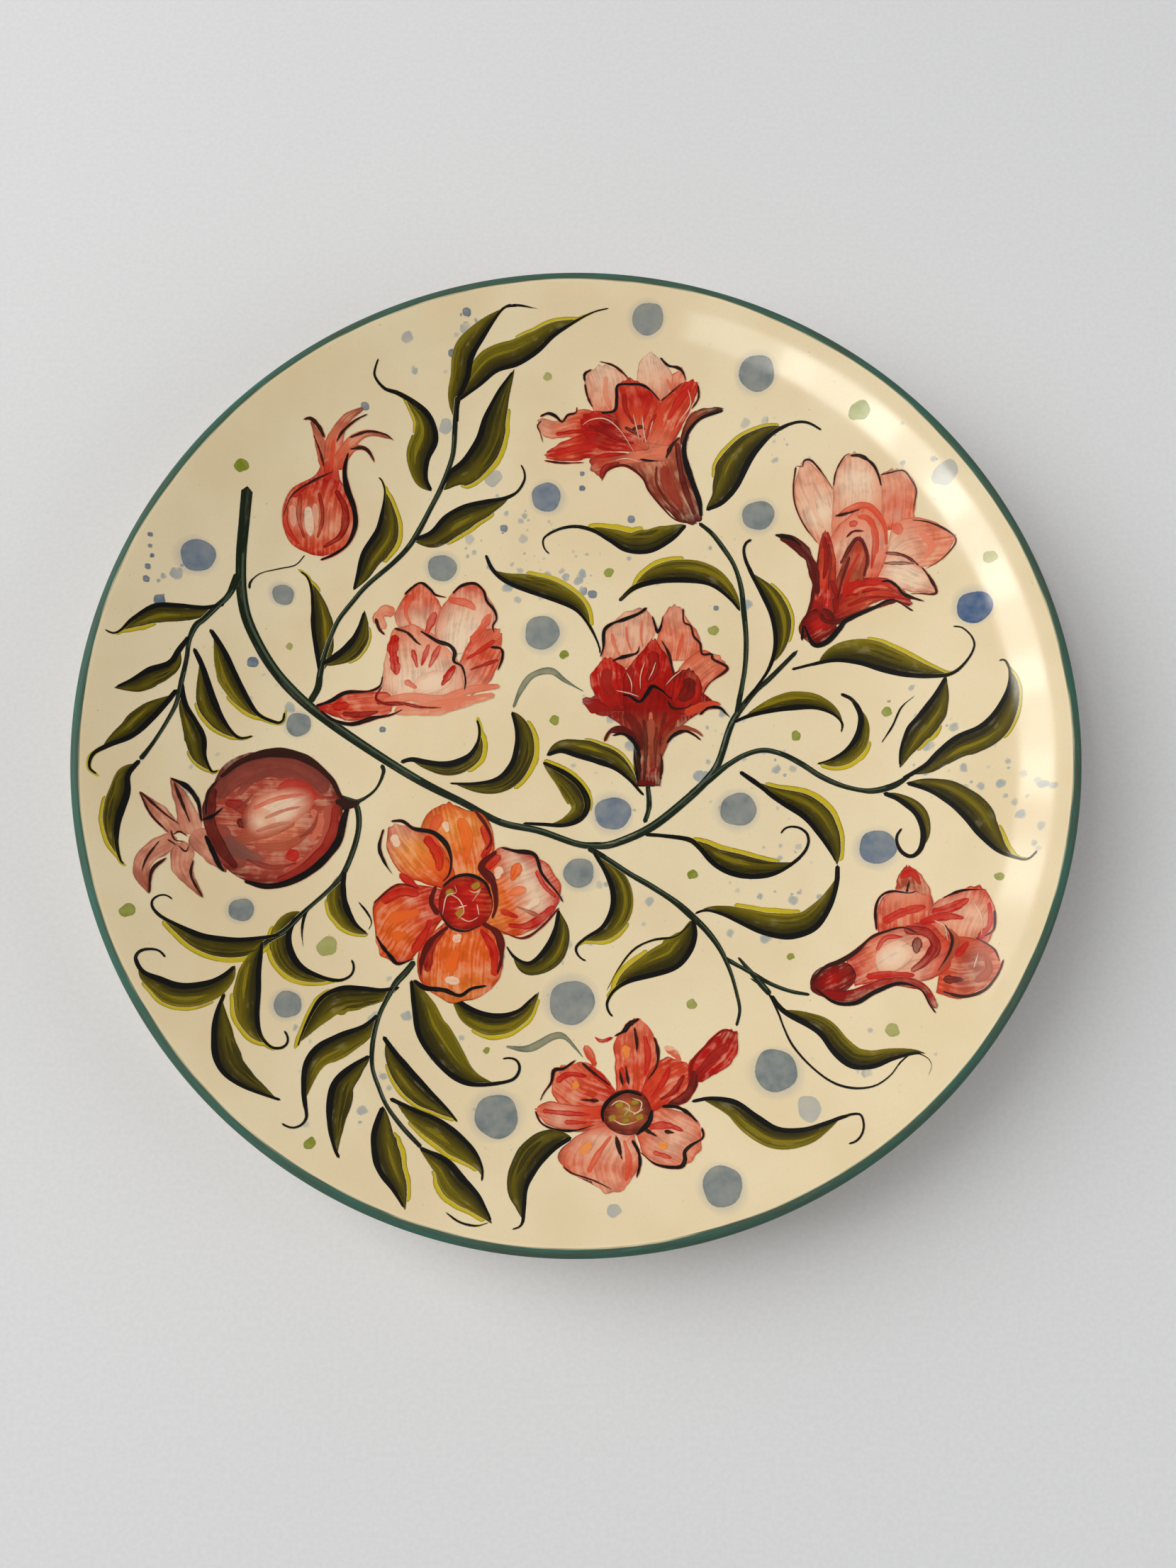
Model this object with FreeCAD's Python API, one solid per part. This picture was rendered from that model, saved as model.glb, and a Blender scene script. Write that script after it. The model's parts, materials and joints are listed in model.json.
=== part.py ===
"""A hand painted coupe plate: one fired clay body with a turned foot ring, coated in glaze.

The plate stands on the XY plane with +Z up, and its axis is the Z axis. Lengths are in millimetres.
The clay is thrown and turned as one piece. A coat of glaze covers its face, a green band is brushed
round the lip, and two more coats cover the back: one outside the foot ring and one in its recess.
The foot ring's edge is wiped clean before firing, so the plate stands on bare clay.

Every coat is a closed solid, GLAZE thick, that lies face to face on the clay. All the outlines are
half sections in the XZ plane. A point of the section is worked out for a depth below the glazed
surface, so depth 0 draws the outside of the coat and depth GLAZE draws the clay under it.
"""

import FreeCAD, Part
import math
import os

# Driving dimensions
DIAMETER = 260.0         # over the green band
FLOOR_TOP = 9.6          # height of the flat middle of the face
FLOOR_THICKNESS = 5.8    # from the face to the recess in the foot
WALL_THICKNESS = 4.0     # of the sloping wall, and so of the round lip
GLAZE = 0.4              # thickness of every coat
FLAT_RADIUS = 48.0       # where the face starts to rise
FACE_BEND = 172.0        # radius of the bend between the flat middle and the wall
SLOPE = math.radians(19.0)   # of the wall, above the horizontal
BAND_INSIDE = 0.6        # width of the green band on the face, inside the round of the lip
BAND_OUTSIDE = 2.2       # and on the back, under the round of the lip
FOOT_OUTER = 84.0        # radius of the foot ring's outer wall
FOOT_WIDTH = 9.0         # from its outer wall to its inner one
FOOT_FILLET = 2.5        # where the foot ring's walls run into the back
FOOT_ROUND = 1.3         # on the edges that the plate stands on
WIPED = 2.0              # height of the bare clay at the bottom of the foot ring

# Worked out from them
OUTWARD = (math.cos(SLOPE), math.sin(SLOPE))     # up the wall
DOWNWARD = (math.sin(SLOPE), -math.cos(SLOPE))   # through the wall, from the face to the back
LIP_RADIUS = WALL_THICKNESS / 2
BACK_BEND = FACE_BEND + WALL_THICKNESS
BACK_LEVEL = FLOOR_TOP - FLOOR_THICKNESS
FACE_CENTRE = (FLAT_RADIUS, FLOOR_TOP + FACE_BEND)


def moved(point, direction, distance):
    """The point that lies a distance from another one, along a direction of length 1."""
    return (point[0] + direction[0] * distance, point[1] + direction[1] * distance)


def towards(start, end):
    """The direction of length 1 from one point to another."""
    length = math.hypot(end[0] - start[0], end[1] - start[1])
    return ((end[0] - start[0]) / length, (end[1] - start[1]) / length)


BEND_END = moved(FACE_CENTRE, DOWNWARD, FACE_BEND)
# The lip's centre lies in the middle of the wall, a lip radius in from the plate's edge.
WALL_RUN = (DIAMETER / 2 - LIP_RADIUS - BEND_END[0] - DOWNWARD[0] * LIP_RADIUS) / OUTWARD[0]
LIP_CENTRE = moved(moved(BEND_END, OUTWARD, WALL_RUN), DOWNWARD, LIP_RADIUS)


def back_centre():
    """The centre of the bend on the back, which is tangent to its flat middle and to the wall."""
    height = BACK_LEVEL + BACK_BEND
    under_lip = moved(LIP_CENTRE, DOWNWARD, LIP_RADIUS)
    # The centre lies one bend radius above the wall's back, at the height found above.
    on_normal = moved(under_lip, DOWNWARD, -BACK_BEND)
    along = (height - on_normal[1]) / OUTWARD[1]
    return (on_normal[0] + OUTWARD[0] * along, height)


BACK_CENTRE = back_centre()


def fillet_centre(radius):
    """The centre of a foot fillet at this radius, which touches the bend of the back from below."""
    across = radius - BACK_CENTRE[0]
    return (radius, BACK_CENTRE[1] - math.sqrt((BACK_BEND + FOOT_FILLET) ** 2 - across ** 2))


OUTER_FILLET = fillet_centre(FOOT_OUTER + FOOT_FILLET)
INNER_FILLET = fillet_centre(FOOT_OUTER - FOOT_WIDTH - FOOT_FILLET)


class Section:
    """The plate's half section at a depth below the glazed surface, as named points and arcs."""

    def __init__(self, depth):
        self.depth = depth
        lip = LIP_RADIUS - depth
        bend = BACK_BEND - depth
        self.face_middle = (0.0, FLOOR_TOP - depth)
        self.face_flat_end = (FLAT_RADIUS, FLOOR_TOP - depth)
        self.face_bend_end = moved(FACE_CENTRE, DOWNWARD, FACE_BEND + depth)
        self.lip_start = moved(LIP_CENTRE, DOWNWARD, -lip)
        self.lip_edge = moved(LIP_CENTRE, OUTWARD, lip)
        self.lip_end = moved(LIP_CENTRE, DOWNWARD, lip)
        self.band_inner = moved(self.lip_start, OUTWARD, -BAND_INSIDE)
        self.band_outer = moved(self.lip_end, OUTWARD, -BAND_OUTSIDE)
        self.back_bend_start = moved(BACK_CENTRE, DOWNWARD, bend)
        self.outer_fillet_top = moved(BACK_CENTRE, towards(BACK_CENTRE, OUTER_FILLET), bend)
        self.outer_fillet_foot = (FOOT_OUTER - depth, OUTER_FILLET[1])
        self.inner_fillet_foot = (FOOT_OUTER - FOOT_WIDTH + depth, INNER_FILLET[1])
        self.inner_fillet_top = moved(BACK_CENTRE, towards(BACK_CENTRE, INNER_FILLET), bend)
        self.back_flat_end = (BACK_CENTRE[0], BACK_LEVEL + depth)
        self.back_middle = (0.0, BACK_LEVEL + depth)

    def arc(self, centre, radius, start, end):
        """The shorter arc round a centre from one point to another."""
        middle = ((start[0] + end[0]) / 2, (start[1] + end[1]) / 2)
        return Part.Arc(vector(start), vector(moved(centre, towards(centre, middle), radius)),
                        vector(end)).toShape()

    def face(self):
        """From the axis, over the face, to the green band."""
        bend = FACE_BEND + self.depth
        return [line(self.face_middle, self.face_flat_end),
                self.arc(FACE_CENTRE, bend, self.face_flat_end, self.face_bend_end),
                line(self.face_bend_end, self.band_inner)]

    def lip(self):
        """From the band's edge on the face, round the lip, to its edge on the back."""
        radius = LIP_RADIUS - self.depth
        return [line(self.band_inner, self.lip_start),
                self.arc(LIP_CENTRE, radius, self.lip_start, self.lip_edge),
                self.arc(LIP_CENTRE, radius, self.lip_edge, self.lip_end),
                line(self.lip_end, self.band_outer)]

    def back(self, foot_height):
        """From the band, down the back and the foot ring's outer wall, to a height on that wall."""
        bend = BACK_BEND - self.depth
        fillet = FOOT_FILLET + self.depth
        return [line(self.band_outer, self.back_bend_start),
                self.arc(BACK_CENTRE, bend, self.back_bend_start, self.outer_fillet_top),
                self.arc(OUTER_FILLET, fillet, self.outer_fillet_top, self.outer_fillet_foot),
                line(self.outer_fillet_foot, (self.outer_fillet_foot[0], foot_height))]

    def recess(self, foot_height):
        """From a height on the foot ring's inner wall, up it and over the recess, to the axis."""
        bend = BACK_BEND - self.depth
        fillet = FOOT_FILLET + self.depth
        return [line((self.inner_fillet_foot[0], foot_height), self.inner_fillet_foot),
                self.arc(INNER_FILLET, fillet, self.inner_fillet_foot, self.inner_fillet_top),
                self.arc(BACK_CENTRE, bend, self.inner_fillet_top, self.back_flat_end),
                line(self.back_flat_end, self.back_middle)]

    def standing_edge(self):
        """The bottom of the foot ring, from its outer wall to its inner one, with rounded edges."""
        outer = FOOT_OUTER - self.depth
        inner = FOOT_OUTER - FOOT_WIDTH + self.depth
        outer_round = (outer - FOOT_ROUND, FOOT_ROUND)
        inner_round = (inner + FOOT_ROUND, FOOT_ROUND)
        return [self.arc(outer_round, FOOT_ROUND, (outer, FOOT_ROUND), (outer_round[0], 0.0)),
                line((outer_round[0], 0.0), (inner_round[0], 0.0)),
                self.arc(inner_round, FOOT_ROUND, (inner_round[0], 0.0), (inner, FOOT_ROUND))]


def vector(point):
    """A point of the half section as a place in the XZ plane."""
    return FreeCAD.Vector(point[0], 0, point[1])


def line(start, end):
    """A straight edge of the half section."""
    return Part.makeLine(vector(start), vector(end))


def ends(edges):
    """The first and the last point of a run of edges, which follow each other in order."""
    first = edges[0].firstVertex(True).Point
    last = edges[-1].lastVertex(True).Point
    return (first.x, first.z), (last.x, last.z)


def turned(edges):
    """The solid that a closed half section sweeps out in one turn about the Z axis."""
    wire = Part.Wire(Part.__sortEdges__(edges))
    swept = Part.Face(wire).revolve(FreeCAD.Vector(0, 0, 0), FreeCAD.Vector(0, 0, 1), 360)
    solid = swept if swept.ShapeType == "Solid" else swept.Solids[0]
    return solid if solid.Volume > 0 else solid.reversed()


def coat(outside, inside):
    """A glaze coat between two runs of edges, closed by a straight edge at each end."""
    outside_start, outside_end = ends(outside)
    inside_start, inside_end = ends(inside)
    return turned(outside + inside + [line(outside_start, inside_start), line(outside_end, inside_end)])


def clay_body(clay):
    """The fired clay, foot ring and all, which is bare only at the bottom of the foot ring."""
    outline = (clay.face() + clay.lip() + clay.back(FOOT_ROUND) + clay.standing_edge()
               + clay.recess(FOOT_ROUND))
    return turned(outline + [line(clay.back_middle, clay.face_middle)])


def main():
    """Makes each piece and writes it to its own STEP file."""
    glazed = Section(0.0)
    clay = Section(GLAZE)
    pieces = {
        "clay_body": clay_body(clay),
        "face_glaze": coat(glazed.face(), clay.face()),
        "rim_band": coat(glazed.lip(), clay.lip()),
        "back_glaze": coat(glazed.back(WIPED), clay.back(WIPED)),
        "recess_glaze": coat(glazed.recess(WIPED), clay.recess(WIPED)),
    }
    os.makedirs("parts", exist_ok=True)
    for name, solid in pieces.items():
        box = solid.optimalBoundingBox()
        print(f"{name}: valid {solid.isValid()}, volume {solid.Volume:.1f} mm3, "
              f"radius {box.XMax:.2f}, z {box.ZMin:.2f} to {box.ZMax:.2f}")
        solid.exportStep(f"parts/{name}.step")


main()
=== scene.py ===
"""The looks of a hand painted coupe plate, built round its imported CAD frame.

The plate's coats are turned again here as dense, slightly uneven pottery, and the painting on its
face is laid down mark by mark, as a decorator would: washes, then strokes, then lines. Every mark
is a thin closed film that lies on the glaze. Drawing lengths are in millimetres, seen from above
with +Y to the top of the painting, and meshes are in metres.
"""

import json
import math

import bpy
import numpy as np
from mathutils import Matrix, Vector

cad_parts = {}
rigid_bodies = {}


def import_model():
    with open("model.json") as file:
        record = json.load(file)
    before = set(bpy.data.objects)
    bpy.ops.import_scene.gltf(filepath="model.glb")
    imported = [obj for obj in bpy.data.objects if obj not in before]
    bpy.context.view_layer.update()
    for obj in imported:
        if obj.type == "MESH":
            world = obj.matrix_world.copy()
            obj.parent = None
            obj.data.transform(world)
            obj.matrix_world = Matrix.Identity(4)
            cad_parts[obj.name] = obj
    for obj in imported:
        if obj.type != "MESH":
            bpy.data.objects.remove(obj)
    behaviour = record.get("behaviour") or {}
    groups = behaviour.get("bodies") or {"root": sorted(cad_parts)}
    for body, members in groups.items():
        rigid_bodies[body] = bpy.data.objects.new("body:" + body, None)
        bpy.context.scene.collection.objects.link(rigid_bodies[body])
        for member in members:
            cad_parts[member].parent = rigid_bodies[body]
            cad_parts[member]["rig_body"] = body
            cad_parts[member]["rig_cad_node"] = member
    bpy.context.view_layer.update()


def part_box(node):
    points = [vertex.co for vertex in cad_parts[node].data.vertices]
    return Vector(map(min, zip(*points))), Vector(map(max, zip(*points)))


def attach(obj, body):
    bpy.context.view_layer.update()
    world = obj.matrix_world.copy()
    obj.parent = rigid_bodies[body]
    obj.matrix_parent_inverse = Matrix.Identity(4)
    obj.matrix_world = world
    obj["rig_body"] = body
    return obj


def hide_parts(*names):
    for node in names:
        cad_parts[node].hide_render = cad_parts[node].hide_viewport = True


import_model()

MM = 0.001

# The plate's section, in millimetres, as in the CAD model
GLAZE = 0.4
WALL = 4.0
SLOPE = math.radians(19.0)
FLAT_RADIUS = 48.0
FACE_BEND = 172.0
FLOOR_THICKNESS = 5.8
BAND_INSIDE = 0.6
BAND_OUTSIDE = 2.2
FOOT_OUTER = 84.0
FOOT_WIDTH = 9.0
FOOT_FILLET = 2.5
FOOT_ROUND = 1.3
WIPED = 2.0
EDGE = round(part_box("rim_band")[1].x / MM, 1)
FLOOR_TOP = round(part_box("face_glaze")[0].z / MM + GLAZE, 1)

LIP_RADIUS = WALL / 2
BACK_BEND = FACE_BEND + WALL
BEND_END = FLAT_RADIUS + FACE_BEND * math.sin(SLOPE)
BEND_END_TOP = FLOOR_TOP + FACE_BEND * (1 - math.cos(SLOPE))
LIP_CENTRE = np.array([EDGE - LIP_RADIUS,
                       BEND_END_TOP + (EDGE - LIP_RADIUS - BEND_END) * math.tan(SLOPE)
                       - LIP_RADIUS / math.cos(SLOPE)])
OUTWARD = np.array([math.cos(SLOPE), math.sin(SLOPE)])
THROUGH = np.array([math.sin(SLOPE), -math.cos(SLOPE)])


# ---------------------------------------------------------------- the turned body

def arc(centre, radius, start, end, count):
    """Points on a circle from one angle to another, in degrees, evenly spaced."""
    angle = np.radians(np.linspace(start, end, count))
    return np.stack([centre[0] + radius * np.cos(angle), centre[1] + radius * np.sin(angle)], 1)


def straight(start, end, count):
    """Points on a straight run, evenly spaced."""
    share = np.linspace(0, 1, count)[:, None]
    return np.asarray(start) * (1 - share) + np.asarray(end) * share


def face_run(depth, count):
    """From the axis over the face to the band: flat, then an arc, then a straight wall."""
    band = LIP_CENTRE - THROUGH * (LIP_RADIUS - depth) - OUTWARD * BAND_INSIDE
    bend = arc((FLAT_RADIUS, FLOOR_TOP + FACE_BEND), FACE_BEND + depth, -90,
               -90 + math.degrees(SLOPE), count)
    flat = straight((0, FLOOR_TOP - depth), bend[0], count)
    return np.vstack([flat[:-1], bend, straight(bend[-1], band, count // 2)[1:]])


def lip_run(depth, count):
    """From the band's edge on the face, round the lip, to its edge on the back."""
    slope = math.degrees(SLOPE)
    round_lip = arc(LIP_CENTRE, LIP_RADIUS - depth, 90 + slope, slope - 90, count)
    inner = round_lip[0] - OUTWARD * BAND_INSIDE
    outer = round_lip[-1] - OUTWARD * BAND_OUTSIDE
    return np.vstack([straight(inner, round_lip[0], 5)[:-1], round_lip,
                      straight(round_lip[-1], outer, 9)[1:]])


def back_centre():
    """The centre of the back's bend, one bend radius above both the recess and the wall's back."""
    height = FLOOR_TOP - FLOOR_THICKNESS + BACK_BEND
    above = LIP_CENTRE + THROUGH * (LIP_RADIUS - BACK_BEND)
    return above + OUTWARD * (height - above[1]) / OUTWARD[1]


BACK_CENTRE = back_centre()


def fillet(radius, depth, side, count):
    """A foot fillet as an arc, from the foot's wall to where it touches the back's bend."""
    drop = math.sqrt((BACK_BEND + FOOT_FILLET) ** 2 - (radius - BACK_CENTRE[0]) ** 2)
    centre = np.array([radius, BACK_CENTRE[1] - drop])
    touch = math.degrees(math.atan2(drop, BACK_CENTRE[0] - radius))
    return arc(centre, FOOT_FILLET + depth, side, touch, count)


def back_run(depth, foot_height, count):
    """From the band down the back, round the fillet and down the foot ring's outer wall."""
    corner = fillet(FOOT_OUTER + FOOT_FILLET, depth, 180, count // 3)[::-1]
    start = math.degrees(SLOPE) - 90
    end = math.degrees(math.atan2(*(corner[0] - BACK_CENTRE)[::-1]))
    bend = arc(BACK_CENTRE, BACK_BEND - depth, start, end, count)
    band = LIP_CENTRE + THROUGH * (LIP_RADIUS - depth) - OUTWARD * BAND_OUTSIDE
    wall = straight(corner[-1], (corner[-1][0], foot_height), 6)
    return np.vstack([straight(band, bend[0], 6)[:-1], bend, corner[1:], wall[1:]])


def recess_run(depth, foot_height, count):
    """From the foot ring's inner wall, round its fillet and over the recess to the axis."""
    corner = fillet(FOOT_OUTER - FOOT_WIDTH - FOOT_FILLET, depth, 0, count // 3)
    start = math.degrees(math.atan2(*(corner[-1] - BACK_CENTRE)[::-1]))
    bend = arc(BACK_CENTRE, BACK_BEND - depth, start, -90, count // 2)
    wall = straight((corner[0][0], foot_height), corner[0], 6)
    middle = straight(bend[-1], (0, bend[-1][1]), count)
    return np.vstack([wall, corner[1:], bend[1:], middle[1:]])


def foot_edge(depth):
    """The bottom of the foot ring with its two rounded edges."""
    outer = FOOT_OUTER - depth
    inner = FOOT_OUTER - FOOT_WIDTH + depth
    return np.vstack([arc((outer - FOOT_ROUND, FOOT_ROUND), FOOT_ROUND, 0, -90, 8),
                      arc((inner + FOOT_ROUND, FOOT_ROUND), FOOT_ROUND, -90, -180, 8)])


def unevenness(x, y):
    """How far the thrown clay strays up or down.

    A few broad lobes grow from the foot to the lip, and the wall sags a little between them.
    """
    angle = np.arctan2(y, x)
    radius = np.hypot(x, y)
    lobes = (0.10 * np.cos(2 * angle + 0.8) + 0.06 * np.cos(3 * angle - 1.1)
             + 0.025 * np.cos(7 * angle + 2.0))
    sag = np.sin(np.pi * np.clip((radius - 98) / (LIP_CENTRE[0] - 98), 0, 1)) ** 2
    reach = np.clip((radius - FOOT_OUTER) / (EDGE - FOOT_OUTER), 0, 1)
    return reach ** 2 * lobes - 0.32 * sag


def face_height(x, y):
    """Height of the glazed face: the section's flat, arc and slope, plus the clay's unevenness."""
    radius = np.hypot(x, y)
    on_arc = np.clip(radius - FLAT_RADIUS, 0, BEND_END - FLAT_RADIUS)
    bend = FACE_BEND - np.sqrt(FACE_BEND ** 2 - on_arc ** 2)
    return (FLOOR_TOP + bend + np.maximum(radius - BEND_END, 0) * math.tan(SLOPE)
            + unevenness(x, y))


def face_normal(x, y):
    """The direction square to the glazed face, from the slope of its height over 0.1 mm."""
    across = (face_height(x + 0.05, y) - face_height(x - 0.05, y)) / 0.1
    upward = (face_height(x, y + 0.05) - face_height(x, y - 0.05)) / 0.1
    normal = np.stack([-across, -upward, np.ones(np.shape(x))], -1)
    return normal / np.linalg.norm(normal, axis=-1, keepdims=True)


def finished(name, mesh, material):
    """The mesh as a piece of the plate: it gets its finish and rides on the plate's one body."""
    mesh.validate()
    piece = bpy.data.objects.new(name, mesh)
    bpy.context.scene.collection.objects.link(piece)
    mesh.materials.append(material)
    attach(piece, "root")
    return piece


def turned(name, outline, lap, material, turns=480):
    """A closed shell swept by an outline in one turn about the axis.

    Point i of the outline at angle a lies at (radius cos a, radius sin a, height + unevenness).
    An outline that starts and ends on the axis closes there in two poles, and any other outline
    is a loop. lap says how far each point lies from the crown of the lip, along the section.
    """
    open_ended = outline[0, 0] < 1e-6
    rows = outline[1:-1] if open_ended else outline
    laps = lap[1:-1] if open_ended else lap
    angle = np.linspace(0, 2 * np.pi, turns, endpoint=False)
    x = rows[:, :1] * np.cos(angle)
    y = rows[:, :1] * np.sin(angle)
    z = rows[:, 1:] + unevenness(x, y)
    points = np.stack([x, y, z], -1).reshape(-1, 3)
    count = len(rows)
    row = np.arange(count - 1 if open_ended else count)[:, None] * turns
    column = np.arange(turns)
    here = row + column
    beside = row + (column + 1) % turns
    under = (row + turns) % (count * turns)
    faces = np.stack([here, under + column, under + (column + 1) % turns, beside], -1).reshape(-1, 4)
    corners = faces.ravel()
    totals = np.full(len(faces), 4)
    lap_values = np.repeat(laps, turns)
    if open_ended:
        top = len(points)
        points = np.vstack([points, [(0, 0, outline[0, 1]), (0, 0, outline[-1, 1])]])
        last = (count - 1) * turns
        first_fan = np.stack([np.full(turns, top), column, (column + 1) % turns], 1)
        last_fan = np.stack([np.full(turns, top + 1), last + (column + 1) % turns, last + column], 1)
        corners = np.concatenate([corners, first_fan.ravel(), last_fan.ravel()])
        totals = np.concatenate([totals, np.full(2 * turns, 3)])
        lap_values = np.concatenate([lap_values, [lap[0], lap[-1]]])
    mesh = mesh_of(name, points, corners, totals)
    mesh.attributes.new("lap", "FLOAT", "POINT").data.foreach_set("value", lap_values)
    return finished(name, mesh, material)


def mesh_of(name, points, corners, totals):
    """A smooth mesh from points in millimetres and its faces' corners."""
    mesh = bpy.data.meshes.new(name)
    mesh.vertices.add(len(points))
    mesh.vertices.foreach_set("co", (np.asarray(points) * MM).ravel())
    mesh.loops.add(len(corners))
    mesh.loops.foreach_set("vertex_index", corners)
    mesh.polygons.add(len(totals))
    starts = np.concatenate([[0], np.cumsum(totals)[:-1]])
    mesh.polygons.foreach_set("loop_start", starts)
    mesh.polygons.foreach_set("use_smooth", np.ones(len(totals), bool))
    mesh.update(calc_edges=True)
    return mesh


# ---------------------------------------------------------------- shader maths

class Value:
    """A number that a material works out. Arithmetic on it adds Math nodes."""

    def __init__(self, socket):
        self.socket = socket

    def maths(self, operation, *numbers):
        """One Math node on these numbers, in this order."""
        tree = self.socket.id_data
        node = tree.nodes.new("ShaderNodeMath")
        node.operation = operation
        for place, number in zip(node.inputs, numbers):
            if isinstance(number, Value):
                tree.links.new(number.socket, place)
            else:
                place.default_value = number
        return Value(node.outputs[0])

    def __add__(self, other):
        return self.maths("ADD", self, other)

    __radd__ = __add__

    def __sub__(self, other):
        return self.maths("SUBTRACT", self, other)

    def __rsub__(self, other):
        return self.maths("SUBTRACT", other, self)

    def __mul__(self, other):
        return self.maths("MULTIPLY", self, other)

    __rmul__ = __mul__

    def __truediv__(self, other):
        return self.maths("DIVIDE", self, other)

    def __pow__(self, other):
        return self.maths("POWER", self, other)

    def clamped(self):
        """The value held between 0 and 1."""
        return self.maths("MINIMUM", self.maths("MAXIMUM", self, 0.0), 1.0)

    def rise(self, low, high):
        """0 below low, 1 above high, and a smooth rise between them."""
        share = ((self - low) / (high - low)).clamped()
        return share * share * (3.0 - 2.0 * share)


class Finish:
    """A material in the making, with its Principled surface."""

    def __init__(self, name):
        self.material = bpy.data.materials.new(name)
        self.material.use_nodes = True
        self.tree = self.material.node_tree
        self.tree.nodes.clear()
        self.surface = self.node("ShaderNodeBsdfPrincipled")
        output = self.node("ShaderNodeOutputMaterial")
        self.tree.links.new(self.surface.outputs[0], output.inputs["Surface"])

    def node(self, kind, settings=None, sockets=None):
        """A node of this kind: its settings are set first, then its sockets' values or links."""
        made = self.tree.nodes.new(kind)
        for name, value in (settings or {}).items():
            setattr(made, name, value)
        for name, value in (sockets or {}).items():
            self.feed(made.inputs[name], value)
        return made

    def feed(self, socket, value):
        """Gives a socket a link or a plain value."""
        if isinstance(value, Value):
            self.tree.links.new(value.socket, socket)
        else:
            socket.default_value = value

    def place(self):
        """The point on the plate, in millimetres."""
        point = self.node("ShaderNodeTexCoord").outputs["Object"]
        return self.scaled(Value(point), (1 / MM, 1 / MM, 1 / MM))

    def scaled(self, vector, factors):
        """A vector with each part multiplied by its own factor."""
        made = self.node("ShaderNodeVectorMath", {"operation": "MULTIPLY"}, {0: vector, 1: factors})
        return Value(made.outputs[0])

    def parts(self, vector):
        """The three numbers of a vector."""
        return [Value(s) for s in self.node("ShaderNodeSeparateXYZ", None, {0: vector}).outputs]

    def joined(self, x, y, z):
        """A vector of three numbers."""
        return Value(self.node("ShaderNodeCombineXYZ", None, {0: x, 1: y, 2: z}).outputs[0])

    def noise(self, vector, scale, detail=2.0, roughness=0.5):
        """Soft noise about 0.5, with scale grains in each unit of the vector."""
        made = self.node("ShaderNodeTexNoise", {"noise_dimensions": "3D"},
                         {"Vector": vector, "Scale": scale, "Detail": detail,
                          "Roughness": roughness})
        return Value(made.outputs["Fac"])

    def cells(self, vector, scale, output):
        """Scattered points: how far the nearest one is, or its own random colour."""
        made = self.node("ShaderNodeTexVoronoi", None, {"Vector": vector, "Scale": scale})
        return Value(made.outputs[output])

    def mixed(self, share, first, second):
        """A colour part way from the first to the second."""
        made = self.node("ShaderNodeMix", {"data_type": "RGBA"}, {0: share, 6: first, 7: second})
        return Value(made.outputs[2])

    def brightened(self, colour, factor):
        """A colour multiplied by a number."""
        made = self.node("ShaderNodeVectorMath", {"operation": "SCALE"}, {0: colour, 3: factor})
        return Value(made.outputs[0])

    def attribute(self, name, output):
        """What the mesh says at this point under a name."""
        made = self.node("ShaderNodeAttribute", {"attribute_name": name})
        return Value(made.outputs[output])

    def bumped(self, height, distance):
        """Raises the surface by height times a distance in metres."""
        made = self.node("ShaderNodeBump", None, {"Height": height, "Strength": 1.0,
                                                  "Distance": distance})
        self.tree.links.new(made.outputs[0], self.surface.inputs["Normal"])

    def surfaced(self, colour, sockets):
        """The finished material: its colour, and values or links for its surface's other sockets."""
        self.feed(self.surface.inputs["Base Color"], colour)
        for name, value in sockets.items():
            self.feed(self.surface.inputs[name], value)
        return self.material


def shade(red, green, blue):
    """A colour given as the eye's 0 to 255, as the linear light that shaders use."""
    seen = np.array([red, green, blue]) / 255
    light = np.where(seen <= 0.04045, seen / 12.92, ((seen + 0.055) / 1.055) ** 2.4)
    return (*light, 1.0)


# ---------------------------------------------------------------- finishes of the body

CREAM = shade(236, 215, 174)
CREAM_PALE = shade(242, 224, 186)
CREAM_WARM = shade(221, 197, 152)
SPECK = shade(150, 118, 74)
BAND_DEEP = shade(0, 62, 55)
BAND_MIDDLE = shade(0, 92, 84)
BAND_PALE = shade(16, 124, 112)


def ground(finish):
    """The cream under the painting: cloudy, with a fine grain and scattered tan specks."""
    place = finish.place()
    cloud = finish.noise(place, 0.035, 3.0)
    grain = finish.noise(place, 1.6, 4.0, 0.65)
    colour = finish.mixed(cloud.rise(0.3, 0.7), CREAM, CREAM_PALE)
    colour = finish.mixed(grain.rise(0.5, 0.85) * 0.45, colour, CREAM_WARM)
    near = finish.cells(place, 0.30, "Distance")
    kind = finish.parts(finish.cells(place, 0.30, "Color"))[0]
    speck = (1.0 - near.rise(0.02, 0.09)) * kind.rise(0.72, 0.9)
    return finish.mixed(speck * 0.5, colour, SPECK)


def gloss(finish, colour, coat=1.0, sheen=0.1):
    """A clear glaze over a colour, with the faint ripple that firing leaves."""
    ripple = finish.noise(finish.place(), 0.10, 2.0)
    finish.bumped(ripple, 0.00012)
    return finish.surfaced(colour, {"Roughness": 0.45, "Specular IOR Level": sheen,
                                    "Coat Weight": coat, "Coat Roughness": 0.06, "Coat IOR": 1.5})


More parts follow.
